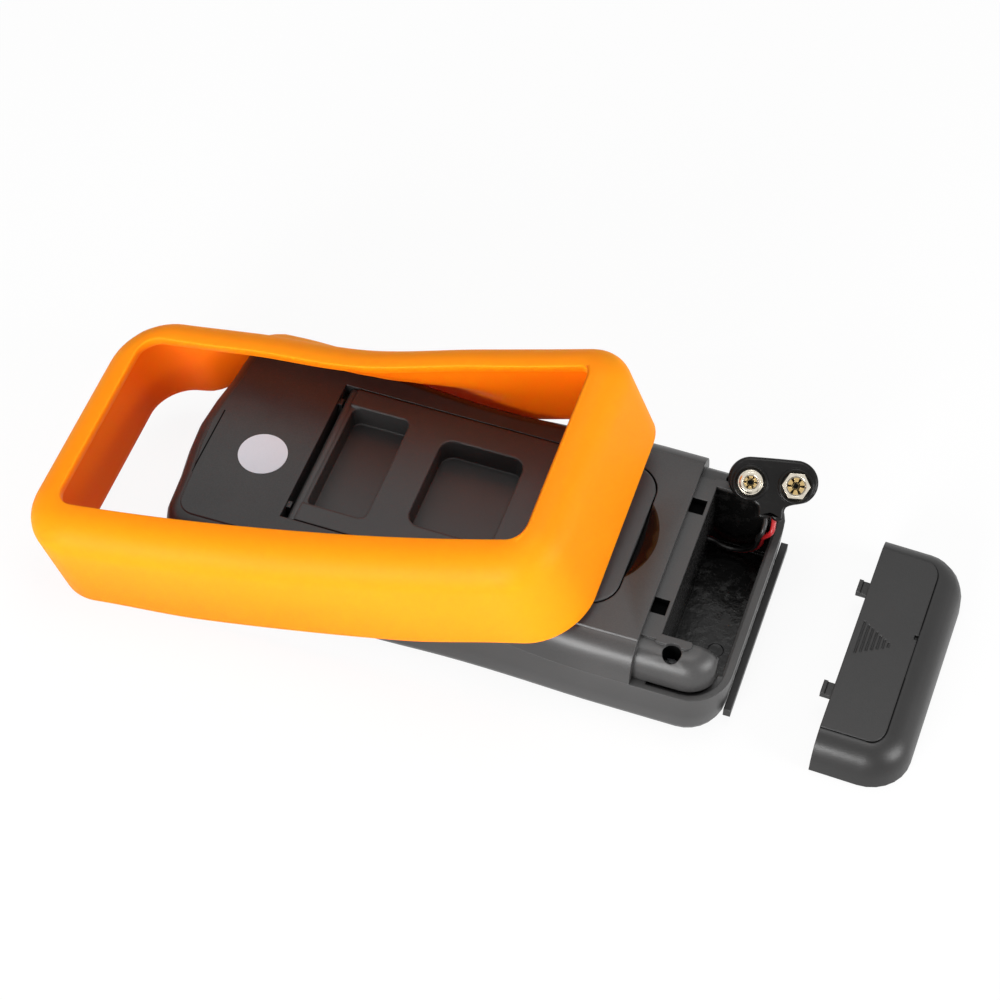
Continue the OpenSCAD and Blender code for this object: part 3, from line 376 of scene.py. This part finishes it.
def moulded(name, colour, rubbed, grain, ease=0.0004, lit_end=None, bay=None, scoop=None, slits=(), holes=()):
    """Spark-textured moulding with painted shade in its corners, painted light on the end beyond the
    holster, painted shade in the bay and scoop with scuffs of real wear, and black painted shade in its
    gaps.
    """
    p = Paint(name)
    fine = p.noise(grain, 2.0, 0.55)
    cloud = p.noise(0.02, 3.0, 0.55)
    wear = p.ramp(fine, 0.35, 0.7) * 0.35 + p.ramp(cloud, 0.35, 0.7) * 0.25
    # Painted light: the end beyond the holster is painted lighter, and it rides on the wear mask.
    if lit_end:
        wear = wear + p.inside(*lit_end, 0.01) * 0.4
    tone = p.mix(wear, colour, rubbed)
    # Painted shade: corners and grooves are darkened towards the crease shade by ambient occlusion.
    skin = p.surface(
        base_color=p.mix(p.crease(0.0025, 0.3, 0.62) * 0.8, tone, CREASE_SHADE),
        roughness=0.4 + (fine - 0.5) * 0.16 + (cloud - 0.5) * 0.1,
        normal=p.bump(fine, 0.00003, p.soft_edge(ease)),
        specular_ior_level=0.42,
    )
    # Painted shade: the bay and the scoop are painted near black; the lighter scuffs in the bay are wear.
    if bay:
        bay_shade_mask = p.inside(*bay)
        share = bay_shade_mask + p.hole(*scoop)
        scuff = p.ramp(p.noise(0.004, 6.0, 0.72), 0.5, 0.68) * bay_shade_mask
        dark = p.surface(
            base_color=p.mix(scuff * 0.6, BAY_SHADE, SCUFFED),
            roughness=0.2 + scuff * 0.3,
            normal=p.bump(p.noise(0.003, 4.0, 0.6) * bay_shade_mask, 0.00016, p.soft_edge(ease)),
            specular_ior_level=0.3,
        )
        skin = p.node("ShaderNodeMixShader", {}, {0: share, 1: skin, 2: dark})
    # Painted shade: slits, slots, holes and seams are painted black with almost no shine.
    if slits:
        deep = p.surface(base_color=GAP_SHADE, roughness=0.7, specular_ior_level=0.03)
        gap = sum([*[p.inside(*slit, 0.00012) for slit in slits], *[p.hole(*hole) for hole in holes]])
        skin = p.node("ShaderNodeMixShader", {}, {0: gap, 1: skin, 2: deep})
    return p.close(skin)


def rubber_finish(looks):
    """Soft satin rubber with fine pores, painted a redder orange as shade in its hollows."""
    p = Paint("holster_rubber")
    pores = p.noise(0.0006, 2.0, 0.6)
    cloud = p.noise(0.03, 3.0, 0.5)
    # Painted shade: ambient occlusion turns the hollows towards the redder rubber shade.
    hollow = p.crease(0.05, 0.45, 0.85)
    shade = hollow * 0.9 + p.ramp(cloud, 0.3, 0.8) * 0.06 + p.ramp(pores, 0.5, 0.8) * 0.05
    return p.finish(
        base_color=p.mix(shade, looks.rubber, looks.rubber_shade_and_pores),
        roughness=0.55 + (pores - 0.5) * 0.12 + (cloud - 0.5) * 0.08,
        normal=p.bump(pores, 0.00002),
        specular_ior_level=0.12,
        subsurface_weight=0.45,
        subsurface_scale=1.0,
        subsurface_radius=(0.007, 0.002, 0.0004),
    )


def metal(name, colour, rough=0.22):
    """Plated metal with fine wear."""
    p = Paint(name)
    haze = p.noise(0.0015, 3.0, 0.6)
    fine = p.noise(0.0004)
    dull = tuple(0.7 * c for c in colour)
    return p.finish(
        base_color=p.mix(p.ramp(haze, 0.45, 0.75) * 0.6, colour, dull),
        metallic=1.0,
        roughness=rough + (haze - 0.5) * 0.25,
        normal=p.bump(fine, 0.00001, p.soft_edge(0.00015)),
    )


def terminal_finish(name, centre, heart, looks):
    """Plated snap terminal with a slotted brass heart of the given radius round a dark eye; the slots, the
    eye and the ring round the heart are painted shade, not cut.
    """
    p = Paint(name)
    r, angle = p.around(centre, SnapPlace.turned(1, 0), SnapPlace.turned(0, 1))
    haze = p.noise(0.0012, 3.0, 0.6)
    core = p.ramp(r, heart, heart * 0.93)
    # Painted shade: the slots, the ring round the heart and the eye are painted near black as openings.
    gap = p.ramp(p.spokes(angle, 6), 0.2, 0.13) * core * p.ramp(r, 0.001, 0.0012)
    ring = p.band(r, heart * 1.02, heart * 1.05, heart * 0.07)
    eye = p.ramp(r, 0.0008, 0.00065)
    plate = p.mix(p.ramp(haze, 0.4, 0.75) * 0.5, looks.nickel, tuple(0.55 * c for c in looks.nickel))
    tone = p.mix(core * 0.8, plate, looks.brass)
    return p.finish(
        base_color=p.mix(gap + eye + ring * 0.85, tone, (0.006, 0.005, 0.004)),
        metallic=1.0,
        roughness=0.2 + (haze - 0.5) * 0.2,
        normal=p.bump(p.noise(0.0004), 0.00001, p.soft_edge(0.00015)),
    )


def plate_finish(grain):
    """Face plate with plain printed scales: ticks round the selector and rings round the jacks."""
    p = Paint("printed_plate")
    fine = p.noise(grain, 2.0, 0.55)
    r, angle = p.around((0, 0, 0), (1, 0, 0), (0, 1, 0))
    near_tick = p.ramp(p.spokes(angle, 24) * r, 0.0011, 0.0009)
    print_share = near_tick * p.band(r, 0.0246, 0.027, 0.0002)
    for y in JACK_Y:
        off, _ = p.around((JACK_X, y, 0), (1, 0, 0), (0, 1, 0))
        print_share = print_share + p.band(off, 0.0051, 0.0055, 0.0001)
    tone = p.mix(p.ramp(fine, 0.35, 0.7) * 0.4, (0.02, 0.02, 0.022), (0.03, 0.03, 0.032))
    return p.finish(
        base_color=p.mix(print_share, tone, (0.7, 0.7, 0.68)),
        roughness=0.45 + (fine - 0.5) * 0.15,
        normal=p.bump(fine, 0.00002, p.soft_edge(0.0003)),
    )


def glossy(name, colour, rough=0.3, mottle=0.25, ease=0.0002, shine=0.5, dents=(0.0008, 0.000006)):
    """Plain gloss moulding or lacquer with a slight mottle, and dents of some spacing and depth."""
    p = Paint(name)
    cloud = p.noise(0.006, 3.0, 0.55)
    deep = tuple(0.75 * c for c in colour)
    return p.finish(
        base_color=p.mix(p.ramp(cloud, 0.3, 0.8) * mottle, colour, deep),
        roughness=rough + (cloud - 0.5) * 0.12,
        normal=p.bump(p.noise(dents[0]), dents[1], p.soft_edge(ease)),
        specular_ior_level=shine,
    )


def paper_finish(colour):
    """Coated paper with faint fibres."""
    p = Paint("label_paper")
    fibre = p.noise(0.0005, 4.0, 0.65)
    cloud = p.noise(0.005, 2.0, 0.5)
    grey = tuple(0.88 * c for c in colour)
    return p.finish(
        base_color=p.mix(p.ramp(fibre, 0.45, 0.8) * 0.3 + p.ramp(cloud, 0.4, 0.8) * 0.15, colour, grey),
        roughness=0.55 + (fibre - 0.5) * 0.1,
        normal=p.bump(fibre, 0.000008),
    )


def board_finish():
    """Solder mask over copper tracks."""
    p = Paint("board_laminate")
    tracks = p.node(
        "ShaderNodeTexBrick", {}, {"Vector": p.place(), "Scale": 260.0, "Mortar Size": 0.03}, 1
    )
    cloud = p.noise(0.01, 3.0)
    tone = p.mix(tracks * 0.5 + p.ramp(cloud, 0.4, 0.8) * 0.2, (0.012, 0.11, 0.035), (0.03, 0.2, 0.07))
    return p.finish(base_color=tone, roughness=0.34 + (cloud - 0.5) * 0.1, normal=p.bump(tracks, 0.00003))


def window_finish():
    """Clear acrylic with a slight haze."""
    p = Paint("clear_window")
    haze = p.noise(0.004, 3.0)
    return p.finish(
        base_color=(0.9, 0.95, 0.96),
        roughness=0.04 + p.ramp(haze, 0.4, 0.8) * 0.05,
        alpha=0.3 + p.ramp(haze, 0.4, 0.8) * 0.05,
        ior=1.49,
    )


def dress_node(node, material):
    """Gives a CAD node its finish, and shades it smooth apart from its sharp edges."""
    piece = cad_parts[node]
    mesh = piece.data
    custom = mesh.attributes.get("custom_normal")
    if custom:
        mesh.attributes.remove(custom)
    mesh.polygons.foreach_set("use_smooth", [True] * len(mesh.polygons))
    weld = piece.modifiers.new("weld", "WELD")
    weld.merge_threshold = 0.000002
    split = piece.modifiers.new("sharp", "EDGE_SPLIT")
    split.split_angle = math.radians(SHARP_ANGLE)
    mesh.materials.clear()
    mesh.materials.append(material)


def add_piece(name, points, faces, material, body):
    """A new mesh in the row frame that rides on a body."""
    mesh = bpy.data.meshes.new(name)
    mesh.from_pydata([tuple(p) for p in points], [], faces)
    mesh.validate()
    mesh.polygons.foreach_set("use_smooth", [True] * len(mesh.polygons))
    mesh.materials.append(material)
    piece = bpy.data.objects.new(name, mesh)
    bpy.context.scene.collection.objects.link(piece)
    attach(piece, body)
    return piece


def tube_faces(rings, count, closed=True, start=0):
    """Faces between rings of count points each, from point start on; closed joins the last to the first."""
    faces = []
    for q in range(rings if closed else rings - 1):
        a, b = start + q * count, start + (q + 1) % rings * count
        for i in range(count):
            j = (i + 1) % count
            faces.append((a + i, a + j, b + j, b + i))
    return faces


def rise(value, start, over):
    """Smooth step from 0 at start to 1 a distance over later."""
    share = max(0.0, min(1.0, (value - start) / over))
    return share * share * (3 - 2 * share)


def flowing(points, steps):
    """Points of a smooth curve through the given points."""
    p = [Vector(q) for q in points]
    last = len(p) - 1
    made = []
    for i in range(last):
        a, b, c, d = p[max(0, i - 1)], p[i], p[i + 1], p[min(last, i + 2)]
        for j in range(steps):
            t = j / steps
            made.append(
                b + 0.5 * t * ((c - a) + t * ((2 * a - 5 * b + 4 * c - d) + t * (3 * b - a - 3 * c + d)))
            )
    made.append(p[last])
    return made


class SnapPlace:
    """Place of the snap connector: u along its terminals, v across, n out of its face, in millimetres."""

    at = Vector((77.2, 29.2, 33.5))
    turn = math.radians(13)
    lean = math.radians(37)
    half_thick = 2
    neck_end = -9.5

    @classmethod
    def turned(cls, u, v, n=0.0):
        """Direction in the row frame."""
        across = math.cos(cls.lean) * v - math.sin(cls.lean) * n
        up = math.sin(cls.lean) * v + math.cos(cls.lean) * n
        c, s = math.cos(cls.turn), math.sin(cls.turn)
        return Vector((c * u - s * across, s * u + c * across, up))

    @classmethod
    def point(cls, u, v, n):
        """Place in the row frame, in millimetres."""
        return cls.at + cls.turned(u, v, n)


class METER_OT_leads(Operator):
    """Two battery leads from the board to the snap"""

    bl_idname = "meter.leads"
    bl_label = "Battery Leads"

    def execute(self, context):
        looks = context.scene.meter_looks
        vinyl = bpy.data.objects["snap_vinyl"]
        socket, stud = (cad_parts[node] for node in ("snap_socket", "snap_stud"))
        for name, route, side, colour, slot, on_it in (
            ("red", LEAD_RED, 1.2, looks.lead_red, "red_vinyl", [vinyl, socket]),
            ("black", LEAD_BLACK, -1.2, looks.vinyl, "snap_vinyl", [stud]),
        ):
            last = [
                SnapPlace.point(side, SnapPlace.neck_end - out, -SnapPlace.half_thick)
                for out in (2.8, 1.4, 0.05)
            ]
            line = [q * MM for q in flowing([*route, *last], 5)]
            curve = bpy.data.curves.new("lead_" + name + "_line", "CURVE")
            curve.dimensions = "3D"
            spline = curve.splines.new("POLY")
            spline.points.add(len(line) - 1)
            for point, q in zip(spline.points, line):
                point.co = (*q, 1)
            spline.use_smooth = True
            curve.bevel_depth = looks.lead / 2
            curve.bevel_resolution = 5
            curve.use_fill_caps = True
            curve.materials.append(glossy("lead_insulation_" + name, tuple(colour), 0.36, 0.3, 0.0001))
            lead = bpy.data.objects.new("battery_lead_" + name, curve)
            context.scene.collection.objects.link(lead)
            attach(lead, "meter")
            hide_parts("lead_" + name)
            length = sum((b - a).length for a, b in zip(line, line[1:]))
        return {"FINISHED"}


class METER_OT_holster(Operator):
    """Rubber holster, racked, bent and pushed out by the case on its far side"""

    bl_idname = "meter.holster"
    bl_label = "Rubber Holster"

    def half(self, x, far):
        """Half width of the relaxed holster on its far or near side."""
        h = self.shape
        base = h.half_top + (h.half_end - h.half_top) * (x / h.half_length + 1) / 2
        dip = h.waist if far else -h.bulge
        return base - dip * (1 - rise(abs(x + 0.0015), 0, 0.0375))

    def outline(self, inset, top, end, r):
        """Plan outline drawn in at its sides, top and end, anticlockwise from the near free corner."""
        h, steps, across = self.shape, self.shape.along, self.shape.across
        slim = h.slim * (1 - inset / h.lip_side)
        x0, x1 = top - h.half_length, h.half_length - end
        ra, rb, rc, rd = (share * r for share in h.corners)
        arcs = np.radians(np.linspace(0, 90, 15))
        ya = self.half(x0 + ra, False) - inset - ra
        yb = self.half(x1 - rb, False) - inset - rb
        yc = self.half(x1 - rc, True) - inset - slim - rc
        yd = self.half(x0 + rd, True) - inset - slim - rd
        near = [x0 + ra + (x1 - rb - x0 - ra) * i / steps for i in range(steps + 1)]
        far = [x1 - rc - (x1 - rc - x0 - rd) * i / steps for i in range(steps + 1)]
        line = [(x, inset - self.half(x, False)) for x in near]
        line += [(x1 - rb + rb * math.sin(a), -yb - rb * math.cos(a)) for a in arcs[1:]]
        line += [(x1, -yb + (yb + yc) * j / across) for j in range(1, across)]
        line += [(x1 - rc + rc * math.cos(a), yc + rc * math.sin(a)) for a in arcs[:-1]]
        line += [(x, self.half(x, True) - inset - slim) for x in far]
        line += [(x0 + rd - rd * math.sin(a), yd + rd * math.cos(a)) for a in arcs[1:]]
        line += [(x0, yd - (yd + ya) * j / across) for j in range(1, across)]
        line += [(x0 + ra - ra * math.cos(a), -ya - ra * math.sin(a)) for a in arcs[:-1]]
        return line

    def flexed(self, x, y, z, thin):
        """Place of a point of the relaxed holster on the meter."""
        h = self.shape
        # Each rise says where on the holster a change starts, and over what length it grows
        deep = 1 - z / h.height
        x += deep * (h.draft_top * rise(-x, 0.02, 0.06) - h.draft_end * rise(x, 0.02, 0.06))
        y -= deep * h.draft_far * rise(y, 0, 0.03) * rise(-x, 0.045, 0.02)
        beside = rise(y, 0.005, 0.02) * rise(-x, -0.078, 0.02)
        z -= deep * deep * h.skirt * beside * rise(x, -0.03, 0.03)
        y += deep * h.flare * beside * rise(x, 0.03, 0.02)
        z -= deep * deep * h.sag * rise(-y, 0, 0.03) * rise(-abs(x), -0.06, 0.03)
        # The case pushes out the far wall below its own shoulder, which slopes along the holster
        pushed = rise(-z - 0.14 * x, -0.0185, 0.013) * rise(y, -0.01, 0.04)
        y += (h.push - thin) * pushed * rise(x, -0.06, 0.021) * rise(-x, -0.05, 0.06)
        y += math.tan(h.rack) * x
        across = y * math.cos(h.roll) - z * math.sin(h.roll)
        up = y * math.sin(h.roll) + z * math.cos(h.roll)
        per = h.bend / BEND_LENGTH
        slope = h.pitch + per * x
        along = (math.sin(slope) - math.sin(h.pitch)) / per - math.sin(slope) * up
        lift = (math.cos(h.pitch) - math.cos(slope)) / per + math.cos(slope) * up
        c, s = math.cos(h.yaw), math.sin(h.yaw)
        return Vector(h.place) + Vector((c * along - s * across, s * along + c * across, lift))

    def section(self):
        """Rings round the wall and lip: insets at the sides, top and end, corner, height and thinning."""
        h = self.shape
        r, t, top, nick, e = h.corner, h.wall, h.height, h.nick, h.lip_round
        quarter = math.pi / 2
        rings = []
        for a in np.linspace(0, quarter, 4):
            d = nick * (1 - math.sin(a))
            rings.append((d, d, d, r - d, nick * (1 - math.cos(a)), h.thin))
        rings += [(0, 0, 0, r, z, h.thin) for z in np.linspace(nick, top - h.edge_round, 18)[1:]]
        for a in np.linspace(0, quarter, 12)[1:]:
            d = h.edge_round * (1 - math.cos(a))
            rings.append((d, d, d, r - 0.8 * d, top - h.edge_round * (1 - math.sin(a)), h.thin))

        under = top - h.lip_thick
        lip = [(e * (1 - math.sin(a)), top - e * (1 - math.cos(a))) for a in np.linspace(0, quarter, 5)]
        for d, z in [*lip, (0, under + nick), (nick, under)]:
            rings.append((h.lip_side - d, h.lip_top - d, h.lip_end - d, h.window + d, z, 0))

        inner, fillet = r - t - 0.0026, 0.001
        wall = [(fillet, under), (0, under - fillet)]
        wall += [(0, z) for z in np.linspace(under - fillet, nick, 18)[1:]]
        for d, z in [*wall, (-nick, 0)]:
            rings.append((t + d, t + d, t + d, inner - d, z, 0))
        return rings

    def execute(self, context):
        self.shape = context.scene.meter_holster
        rings = self.section()
        points = []
        for *plan, z, thin in rings:
            points += [self.flexed(x, y, z, thin) for x, y in self.outline(*plan)]
        holster = add_piece(
            "rubber_holster", points, tube_faces(len(rings), len(points) // len(rings)),
            rubber_finish(context.scene.meter_looks), "sleeve",
        )
        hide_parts("holster")
        return {"FINISHED"}


class METER_OT_case(Operator):
    """Case halves, tilt stand, loose cover and the dark rib"""

    bl_idname = "meter.case"
    bl_label = "Case, Stand and Cover"

    @staticmethod
    def cover_seams():
        """Boxes just below the top of the cover, which hold the dark seam on three sides of its panel:
        painted shade of a groove that is not cut.
        """
        (left, near, _), (right, far, top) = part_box("battery_cover")
        low, high = top - 0.00042, top - 0.00022
        return [
            ((left, near, low), (right, -0.008, high)),
            ((left, 0.009, low), (right, far, high)),
            ((right - 0.014, near, low), (right, far, high)),
        ]

    def execute(self, context):
        looks = context.scene.meter_looks
        rubbed = tuple(looks.case_worn)
        case = moulded(
            "case_plastic", tuple(looks.case), rubbed, looks.grain,
            lit_end=LIT_END, bay=BAY, scoop=SCOOP, slits=[TOP_SLIT, *HOOK_SLOTS], holes=SCREW_HOLES,
        )
        for node in ("back_case", "front_case"):
            dress_node(node, case)
        cover = moulded(
            "cover_plastic", tuple(looks.cover), tuple(looks.cover_worn), looks.grain,
            ease=0.0005, slits=self.cover_seams(),
        )
        dress_node("battery_cover", cover)
        stand = moulded("stand_plastic", tuple(looks.stand), rubbed, looks.grain, ease=0.001)
        dress_node("tilt_stand", stand)
        dress_node("end_rib", moulded("rib_plastic", tuple(looks.vinyl), tuple(looks.black), looks.grain))
        return {"FINISHED"}


class METER_OT_snap(Operator):
    """Battery snap with its vinyl body and two plated terminals"""

    bl_idname = "meter.snap"
    bl_label = "Battery Snap"

    def execute(self, context):
        looks = context.scene.meter_looks
        for node, side, heart in (("snap_stud", -TERMINAL, 0.0019), ("snap_socket", TERMINAL, 0.0025)):
            middle = SnapPlace.point(side, TERMINAL_V, 0) * MM
            dress_node(node, terminal_finish(node + "_plating", middle, heart, looks))
        self.vinyl(looks)
        return {"FINISHED"}

    @staticmethod
    def outline():
        """Plan of the vinyl body: two round ends and a neck, with its corners eased."""
        arc = np.radians(np.linspace(-62, 90, 12))
        end = 6.3
        right = [(TERMINAL + end * math.cos(a), end * math.sin(a)) for a in arc]
        neck = [(-4.4, -6.7), (-3.6, -8.2), (-3.7, -10.7), (-0.9, -10.9), (0.1, -9.7)]
        neck += [(1, -11.3), (3.8, -11.2), (3.7, -8.2), (4.4, -6.7)]
        line = [*right, *[(-u, v) for u, v in reversed(right)], *neck]
        for _ in range(2):
            line = [
                (a[0] + k * (b[0] - a[0]), a[1] + k * (b[1] - a[1]))
                for a, b in zip(line, [*line[1:], line[0]])
                for k in (0.25, 0.75)
            ]
        return np.array(line)

    def vinyl(self, looks):
        """Soft body with rolled edges and a raised collar round each terminal."""
        line = self.outline()
        along = np.roll(line, -1, 0) - np.roll(line, 1, 0)
        out = np.stack([along[:, 1], -along[:, 0]], 1) / np.linalg.norm(along, axis=1)[:, None]
        count = len(line)
        points = []
        half, roll = SnapPlace.half_thick, 1.1
        turned = np.radians(np.linspace(-90, 90, 11))
        for a in turned:
            n = (half - roll) * np.sign(a) + roll * math.sin(a) - half
            inset = roll * (1 - math.cos(a))
            points += [SnapPlace.point(u, v, n) * MM for u, v in line - inset * out]
        faces = tube_faces(len(turned), count, closed=False)
        faces.append(tuple(reversed(range(count))))
        faces.append(tuple(range(len(points) - count, len(points))))
        turns, sides = 40, 10
        collar, half_wide, high = 4.55, 0.55, 0.45
        for side in (-TERMINAL, TERMINAL):
            faces += tube_faces(turns, sides, start=len(points))
            for a in np.linspace(0, 2 * math.pi, turns, endpoint=False):
                for b in np.linspace(2 * math.pi, 0, sides, endpoint=False):
                    r = collar + half_wide * math.cos(b)
                    u, v = side + r * math.cos(a), TERMINAL_V + r * math.sin(a)
                    points.append(SnapPlace.point(u, v, high * math.sin(b)) * MM)
        skin = glossy("snap_vinyl", tuple(looks.vinyl), 0.3, 0.3, 0.0004, 0.16, (0.004, 0.0004))
        body = add_piece("snap_vinyl", points, faces, skin, "meter")
        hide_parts("snap_body")


class METER_OT_label(Operator):
    """Blank round inspection label"""

    bl_idname = "meter.label"
    bl_label = "Inspection Label"

    def execute(self, context):
        dress_node("inspection_sticker", paper_finish(tuple(context.scene.meter_looks.paper)))
        return {"FINISHED"}


class METER_OT_front(Operator):
    """Face plate, window, keys, knob and jacks"""

    bl_idname = "meter.front"
    bl_label = "Front"

    def execute(self, context):
        looks = context.scene.meter_looks
        black = tuple(looks.black)
        dress_node("face_plate", plate_finish(looks.grain))
        dress_node("window_lens", window_finish())
        dress_node("display_glass", glossy("display_cell", (0.36, 0.42, 0.33), 0.18))
        dress_node("selector_knob", moulded("knob_plastic", black, BLACK_WORN, looks.grain))
        dress_node("jack_block", moulded("jack_plastic", black, BLACK_WORN, looks.grain))
        dress_node("power_button", glossy("power_key", (0.58, 0.05, 0.03)))
        dress_node("hold_button", glossy("hold_key", (0.62, 0.6, 0.57)))
        dress_node("jack_sleeves", metal("jack_brass", tuple(looks.brass)))
        return {"FINISHED"}


class METER_OT_inside(Operator):
    """Board, display parts, fuses, detents and screws"""

    bl_idname = "meter.inside"
    bl_label = "Inside"

    def execute(self, context):
        looks = context.scene.meter_looks
        dress_node("main_board", board_finish())
        pale = moulded("pale_plastic", (0.62, 0.6, 0.54), (0.7, 0.68, 0.62), looks.grain)
        for node in ("display_frame", "wiper_disc", "detent_ring"):
            dress_node(node, pale)
        strips = moulded("strip_rubber", (0.11, 0.11, 0.12), (0.16, 0.16, 0.17), looks.grain)
        dress_node("display_strips", strips)
        dark = glossy("chip_resin", (0.014, 0.014, 0.015), 0.42)
        for node in ("measuring_chip", "buzzer", "power_switch", "hold_switch"):
            dress_node(node, dark)
        dress_node("trim_pots", glossy("trimmer_blue", (0.05, 0.15, 0.4)))
        dress_node("fuses", glossy("fuse_ceramic", (0.72, 0.76, 0.74), 0.25))
        brass = metal("contact_brass", tuple(looks.brass))
        for node in ("fuse_clips", "wiper_contacts"):
            dress_node(node, brass)
        dress_node("current_shunt", metal("shunt_copper", (0.5, 0.24, 0.12), 0.3))
        steel = metal("zinc_steel", tuple(looks.steel), 0.28)
        for node in ("detent_balls", "detent_springs", "case_screws", "board_screws"):
            dress_node(node, steel)
        return {"FINISHED"}


class METER_OT_stage(Operator):
    """Pale floor, soft light and the camera"""

    bl_idname = "meter.stage"
    bl_label = "Stage"

    @staticmethod
    def add(context, name, data, place, target):
        """A lamp or camera that points from a place at a target."""
        made = bpy.data.objects.new(name, data)
        made.location = place
        made.rotation_euler = (Vector(target) - Vector(place)).to_track_quat("-Z", "Y").to_euler()
        context.scene.collection.objects.link(made)
        return made

    def lamp(self, context, name, place, watts, target=(0, 0, 0.02)):
        """A round soft lamp that points at the meter."""
        light = bpy.data.lights.new(name, "AREA")
        light.shape = "DISK"
        light.size = 0.5
        light.energy = watts
        self.add(context, name, light, place, target)

    def floor(self, context):
        """White floor just under the table plane, which keeps the object's shadow."""
        p = Paint("studio_floor")
        matt = p.node("ShaderNodeBsdfDiffuse", {}, {"Color": (0.86, 0.86, 0.86)})
        white = p.node("ShaderNodeEmission", {}, {"Color": (1, 1, 1), "Strength": 1.0})
        both = p.node("ShaderNodeMixShader", {}, {0: p.surroundings() * 0.9, 1: matt, 2: white})
        mesh = bpy.data.meshes.new("studio_floor")
        reach = 6.0
        corners = [(-reach, -reach, 0), (reach, -reach, 0), (reach, reach, 0), (-reach, reach, 0)]
        mesh.from_pydata(corners, [], [(0, 1, 2, 3)])
        mesh.materials.append(p.close(both))
        ground = bpy.data.objects.new("studio_floor", mesh)
        ground.location.z = -0.0002
        context.scene.collection.objects.link(ground)

    def sky(self, context, strength):
        """Even light from all round, which looks white itself."""
        p = Paint("studio_sky", bpy.types.World)
        soft = p.node("ShaderNodeBackground", {}, {"Color": (1, 1, 1), "Strength": strength})
        white = p.node("ShaderNodeBackground", {}, {"Color": (1, 1, 1), "Strength": 1.0})
        both = p.node("ShaderNodeMixShader", {}, {0: p.surroundings(), 1: soft, 2: white})
        p.node("ShaderNodeOutputWorld", {}, {"Surface": both})
        context.scene.world = p.made

    def execute(self, context):
        view = context.scene.meter_view
        data = bpy.data.cameras.new("photo_camera")
        data.lens = view.lens
        data.sensor_width = 36
        data.clip_start = 0.01
        context.scene.camera = self.add(context, "photo_camera", data, view.place, view.target)
        self.floor(context)
        self.sky(context, view.sky)
        self.lamp(context, "key_light", (0.05, 0.14, 0.85), view.key)
        self.lamp(context, "near_light", (-0.15, -0.9, 0.22), view.fill, (-0.02, 0, 0.02))
        self.lamp(context, "side_light", (0.95, -0.1, 0.3), view.side)
        context.scene.view_settings.view_transform = "Standard"
        return {"FINISHED"}


class METER_PT_looks(Panel):
    """The pieces of the multimeter and their finishes"""

    bl_label = "Multimeter"
    bl_idname = "METER_PT_looks"
    bl_space_type = "VIEW_3D"
    bl_region_type = "UI"
    bl_category = "Multimeter"

    def draw(self, context):
        column = self.layout.column()
        for piece in PIECES:
            column.operator(piece.bl_idname)
        for name, group in GROUPS.items():
            for key in group.__annotations__:
                column.prop(getattr(context.scene, name), key)


PIECES = (
    METER_OT_stage,
    METER_OT_snap,
    METER_OT_leads,
    METER_OT_holster,
    METER_OT_case,
    METER_OT_label,
    METER_OT_front,
    METER_OT_inside,
)
GROUPS = {"meter_holster": HolsterShape, "meter_looks": MeterLooks, "meter_view": MeterView}


def register():
    for group in GROUPS.values():
        bpy.utils.register_class(group)
    for name, group in GROUPS.items():
        setattr(bpy.types.Scene, name, PointerProperty(type=group))
    for piece in (*PIECES, METER_PT_looks):
        bpy.utils.register_class(piece)


def unregister():
    for piece in reversed((*PIECES, METER_PT_looks)):
        bpy.utils.unregister_class(piece)
    for name in GROUPS:
        delattr(bpy.types.Scene, name)
    for group in GROUPS.values():
        bpy.utils.unregister_class(group)


def main():
    register()
    bpy.ops.meter.stage()
    bpy.ops.meter.snap()
    bpy.ops.meter.leads()
    bpy.ops.meter.holster()
    bpy.ops.meter.case()
    bpy.ops.meter.label()
    bpy.ops.meter.front()
    bpy.ops.meter.inside()


if __name__ == "__main__":
    main()
